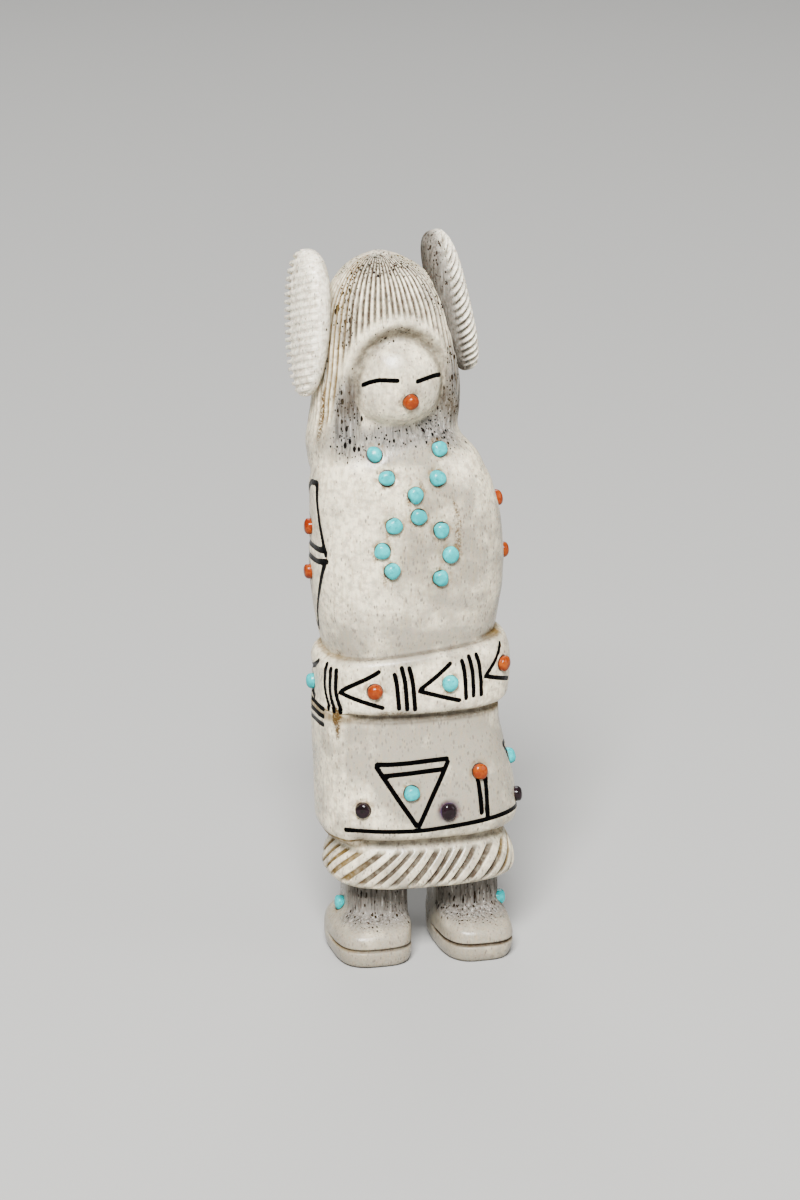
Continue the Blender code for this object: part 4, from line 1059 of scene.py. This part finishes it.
def antler(name, cream, grey):
    """Deer antler, sawn, carved and polished. The rind is dense, creamy and half-glossy, with fine
    fibres along it. Towards the core it turns grey and opens into dark pores. Old soiling and polish
    stay brown in every groove and crease, and painted shade darkens the grooves, the creases, the cove
    under the arch of the hair and the inner sides of the whorls."""
    material, shader, put = new_material(name)
    spot = put("ShaderNodeTexCoord").outputs["Object"]
    read = {n: put("ShaderNodeAttribute", attribute_name=n).outputs["Fac"] for n in ANTLER_NUMBERS}
    # Coordinates in millimetres. A share below 1 draws a pattern out along the antler, as its fibres run
    shares = (1.0, 0.13, 0.45, 0.5, 0.75, 0.22, 0.38)
    mm = {s: put(MAPPING, {"Vector": spot, "Scale": (1000.0, 1000.0, 1000.0 * s)}) for s in shares}
    # Clouds some 5 mm across, blotches of 1 mm, fibres 0.3 mm apart and a fine grain
    cloud, blotch, fibre, grain = (
        put(NOISE, {"Vector": mm[share], "Scale": per_mm, "Detail": detail, "Roughness": rough})
        for share, per_mm, detail, rough in (
            (1.0, 0.2, 6.0, 0.62), (1.0, 1.1, 4.0, 0.6), (0.13, 2.6, 5.0, 0.65), (1.0, 3.2, 3.0, 0.7),
        )
    )
    warmth = put("ADD", read["warm"], put(RANGE, cloud, 0.34, 0.66, -0.6, 0.5), use_clamp=True)
    cold = put(RANGE, warmth, 1.0, 0.2, 0.16, 0.75)

    # Short grey flecks, the cut ends of the antler's vessels, more of them where it is grey
    flecks = []
    for per_mm, widest in ((1.3, 0.24), (2.4, 0.36)):
        cells = put(CELLS, {"Vector": mm[0.45], "Scale": per_mm, "Randomness": 1.0})
        lot = put("ShaderNodeSeparateColor", cells.outputs["Color"])
        size = put(RANGE, lot.outputs[1], 0.0, 1.0, 0.4 * widest, widest)
        inside = put(RANGE, put("SUBTRACT", size, cells.outputs["Distance"]), -0.08, 0.1, 0.0, 0.85)
        flecks.append(put("MULTIPLY", inside, put("GREATER_THAN", cold, lot)))
    # Two kinds of pores in two sizes each, round ones in the head and long slits down the legs
    rounded = put("SUBTRACT", 1.0, read["drawn"])
    ragged = put(RANGE, grain, 0.25, 0.75, -0.07, 0.07)
    pores = []
    for per_mm, share, widest, most, sort in (
        (1.5, 0.5, 0.4, 0.5, rounded), (2.5, 0.75, 0.42, 0.65, rounded),
        (1.6, 0.22, 0.34, 0.9, read["drawn"]), (2.7, 0.38, 0.36, 0.65, read["drawn"]),
    ):
        cells = put(CELLS, {"Vector": mm[share], "Scale": per_mm, "Randomness": 1.0})
        lot = put("ShaderNodeSeparateColor", cells.outputs["Color"])
        there = put("MULTIPLY", put("GREATER_THAN", put("MULTIPLY", read["pored"], most), lot), sort)
        size = put(RANGE, lot.outputs[1], 0.0, 1.0, 0.45 * widest, widest)
        inside = put("ADD", put("SUBTRACT", size, cells.outputs["Distance"]), ragged)
        pores.append(put("MULTIPLY", put(RANGE, inside, 0.0, 0.07), there))
    hollow = put("MAXIMUM", put("MAXIMUM", *pores[:2]), put("MAXIMUM", *pores[2:]))

    # Brown soiling and painted shade down the comb lines and cuts, in the creases and the cove, and brown
    # smudges beside the stones
    aside = put("MULTIPLY", put("PINGPONG", read["groove"], 0.5), 2.0)
    valley = put("MULTIPLY", put(RANGE, aside, read["groove_share"], read["groove_floor"]), read["grooved"])
    dirt_and_shade = put("MULTIPLY", put("MAXIMUM", valley, read["grime_and_shade"]), put(RANGE, blotch, 0.3, 0.6, 0.8, 1.0))
    halo = put("MULTIPLY", put(RANGE, read["rim"], 0.9, 0.0, 0.0, 0.9), put(RANGE, blotch, 0.42, 0.62))
    # Black filler in the engraved lines, its edge a little ragged
    ink = put(RANGE, put("ADD", read["ink"], put(RANGE, grain, 0.2, 0.8, -0.03, 0.03)), 0.03, -0.03)
    spongy = read["spongy"]
    base, brown = (
        put(MIX, {"Factor": factor, 6: linear(first), 7: linear(second)}, data_type="RGBA").outputs[2]
        for factor, first, second in ((warmth, grey, cream), (read["ochre"], "#3b3228", "#68542f"))
    )
    # What lies over the ground, in turn, and how strongly
    for colour, factor in (
        (linear("#94897a"), put(RANGE, blotch, 0.44, 0.64, 0.0, 0.65)),
        (linear("#9c8b6e"), put(RANGE, fibre, 0.5, 0.68, 0.0, 0.55)),
        *[(linear("#6c6459"), fleck) for fleck in flecks],
        (linear("#67635d"), put("MULTIPLY", spongy, 0.95)),
        (linear("#33302c"), put("MULTIPLY", put(RANGE, fibre, 0.5, 0.6, 0.0, 0.8), spongy)),
        (linear("#bdb9b1"), put("MULTIPLY", put(RANGE, fibre, 0.42, 0.34, 0.0, 0.6), spongy)),
        (linear("#0a0806"), hollow),
        # Brown soiling and painted shade in the grooves, creases, cove and inner sides of the whorls
        (brown, dirt_and_shade),
        (linear("#4a3514"), put("MULTIPLY", read["stain"], put(RANGE, grain, 0.38, 0.6, 0.1, 0.95))),
        (linear("#6f5328"), halo),
        (linear("#1c140d"), put(RANGE, read["rim"], 0.14, 0.04)),
        (linear("#2e1a3a"), put("MULTIPLY", read["dye"], 0.8)),
        (linear("#010101"), ink),
    ):
        base = put(MIX, {"Factor": factor, 6: base, 7: colour}, data_type="RGBA").outputs[2]

    # Filler, pores and the soiled and shaded places give back hardly any light
    dull = put("MAXIMUM", put("MAXIMUM", spongy, hollow), dirt_and_shade)
    gloss = put(RANGE, cloud, 0.3, 0.7, 0.22, 0.36)
    dark = put("MAXIMUM", put("MAXIMUM", dirt_and_shade, hollow), ink)
    height = put("MULTIPLY_ADD", hollow, -0.25, put("MULTIPLY", fibre, 0.05))
    feed(material.node_tree, shader, {
        "Base Color": base,
        "Roughness": put(MIX, {"Factor": dull, 2: gloss, 3: 0.8}, data_type="FLOAT"),
        "Specular IOR Level": put(RANGE, dark, 0.0, 1.0, 0.42, 0.03),
        "Normal": put("ShaderNodeBump", {"Strength": 0.9, "Distance": MM, "Height": height}),
        "Subsurface Weight": 0.08,
        "Subsurface Scale": 0.0004,
    })
    return material


def gem(name, main, pale, dark, roughness, patch_size):
    """A polished stone: clouds of a paler and a darker tone on its own colour, under a wet gloss.
    Each stone's own tone moves it a little between the pale and the full colour."""
    material, shader, put = new_material(name)
    spot = put("ShaderNodeTexCoord").outputs["Object"]
    mm = put(MAPPING, {"Vector": spot, "Scale": (1000.0, 1000.0, 1000.0)})
    cloud = put(NOISE, {"Vector": mm, "Scale": 1.0 / patch_size, "Detail": 4.0})
    vein = put(NOISE, {"Vector": mm, "Scale": 2.2 / patch_size, "Detail": 3.0})
    own = put("ShaderNodeAttribute", attribute_name="tone").outputs["Fac"]
    lighter = put("MULTIPLY_ADD", own, 0.25, put(RANGE, cloud, 0.42, 0.66, 0.0, 0.6))
    base = linear(main)
    for colour, factor in ((pale, lighter), (dark, put(RANGE, vein, 0.58, 0.7, 0.0, 0.55))):
        base = put(MIX, {"Factor": factor, 6: base, 7: linear(colour)}, data_type="RGBA").outputs[2]
    bump = put("ShaderNodeBump", {"Strength": 0.25, "Distance": 0.1 * MM, "Height": cloud})
    feed(material.node_tree, shader, {
        "Base Color": base, "Normal": bump, "Roughness": roughness, "Specular IOR Level": 0.2,
    })
    return material


def make_floor():
    """A wide, plain, pale floor."""
    mesh = bpy.data.meshes.new("floor")
    mesh.from_pydata([(-6, -6, 0), (6, -6, 0), (6, 6, 0), (-6, 6, 0)], [], [(0, 1, 2, 3)])
    material, shader, _ = new_material("pale_floor")
    feed(material.node_tree, shader, {"Base Color": linear("#9c9b98"), "Roughness": 0.85})
    mesh.materials.append(material)
    floor = new_object("floor", mesh)


def light_scene():
    """A broad soft key from the upper left, a weak fill from the right and a pale room all round."""
    for name, place, size, energy in (
        ("key", (-0.48, -1.3, 1.38), 0.65, 158.0), ("fill", (1.3, -0.9, 0.7), 1.0, 10.0),
        ("back", (0.2, 1.3, 1.2), 0.9, 14.0),
    ):
        light = bpy.data.lights.new(name, "AREA")
        light.size = size
        light.energy = energy
        lamp = new_object(name, light)
        lamp.location = place
        lamp.rotation_euler = (Vector(place) - TARGET).to_track_quat("Z", "Y").to_euler()
    world = bpy.data.worlds.new("pale_room")
    bpy.context.scene.world = world
    world.use_nodes = True
    background = world.node_tree.nodes["Background"]
    feed(world.node_tree, background, {"Color": linear("#f1f3f5"), "Strength": 0.26})


def place_camera():
    """Looks down on the figure's right front, as the photograph does."""
    azimuth, elevation, distance = math.radians(-15.0), math.radians(16.0), 0.56
    flat = math.cos(elevation)
    back = Vector((math.sin(azimuth) * flat, -math.cos(azimuth) * flat, math.sin(elevation)))
    data = bpy.data.cameras.new("camera")
    data.sensor_fit = "VERTICAL"
    data.sensor_height = SENSOR
    data.lens = FOCAL_PIXELS * SENSOR / IMAGE_HEIGHT
    data.shift_x = -OFF_MIDDLE / IMAGE_HEIGHT
    camera = new_object("camera", data)
    camera.location = TARGET + distance * back
    camera.rotation_euler = back.to_track_quat("Z", "Y").to_euler()
    bpy.context.scene.camera = camera


def main():
    place_camera()
    make_body(antler("carved_antler", "#e6dabc", "#8d8777"))
    whorl_antler = antler("whorl_antler", "#f8f0da", "#ebe2cc")
    tree = whorl_tree(("Length", "Depth", "Outward", *WHORLS["hair_whorl_right"][-1]))
    for node, (place, outward, sizes) in WHORLS.items():
        make_whorl(node, tree, place, outward, sizes, whorl_antler)
    make_stones({
        TURQUOISE: gem("turquoise", "#018a8c", "#04b9ba", "#026266", 0.22, 1.1),
        CORAL: gem("coral", "#691e05", "#8f4409", "#3c0c03", 0.2, 0.9),
        JET: gem("jet", "#0c0807", "#22121a", "#040303", 0.14, 1.0),
    })
    make_floor()
    light_scene()


main()
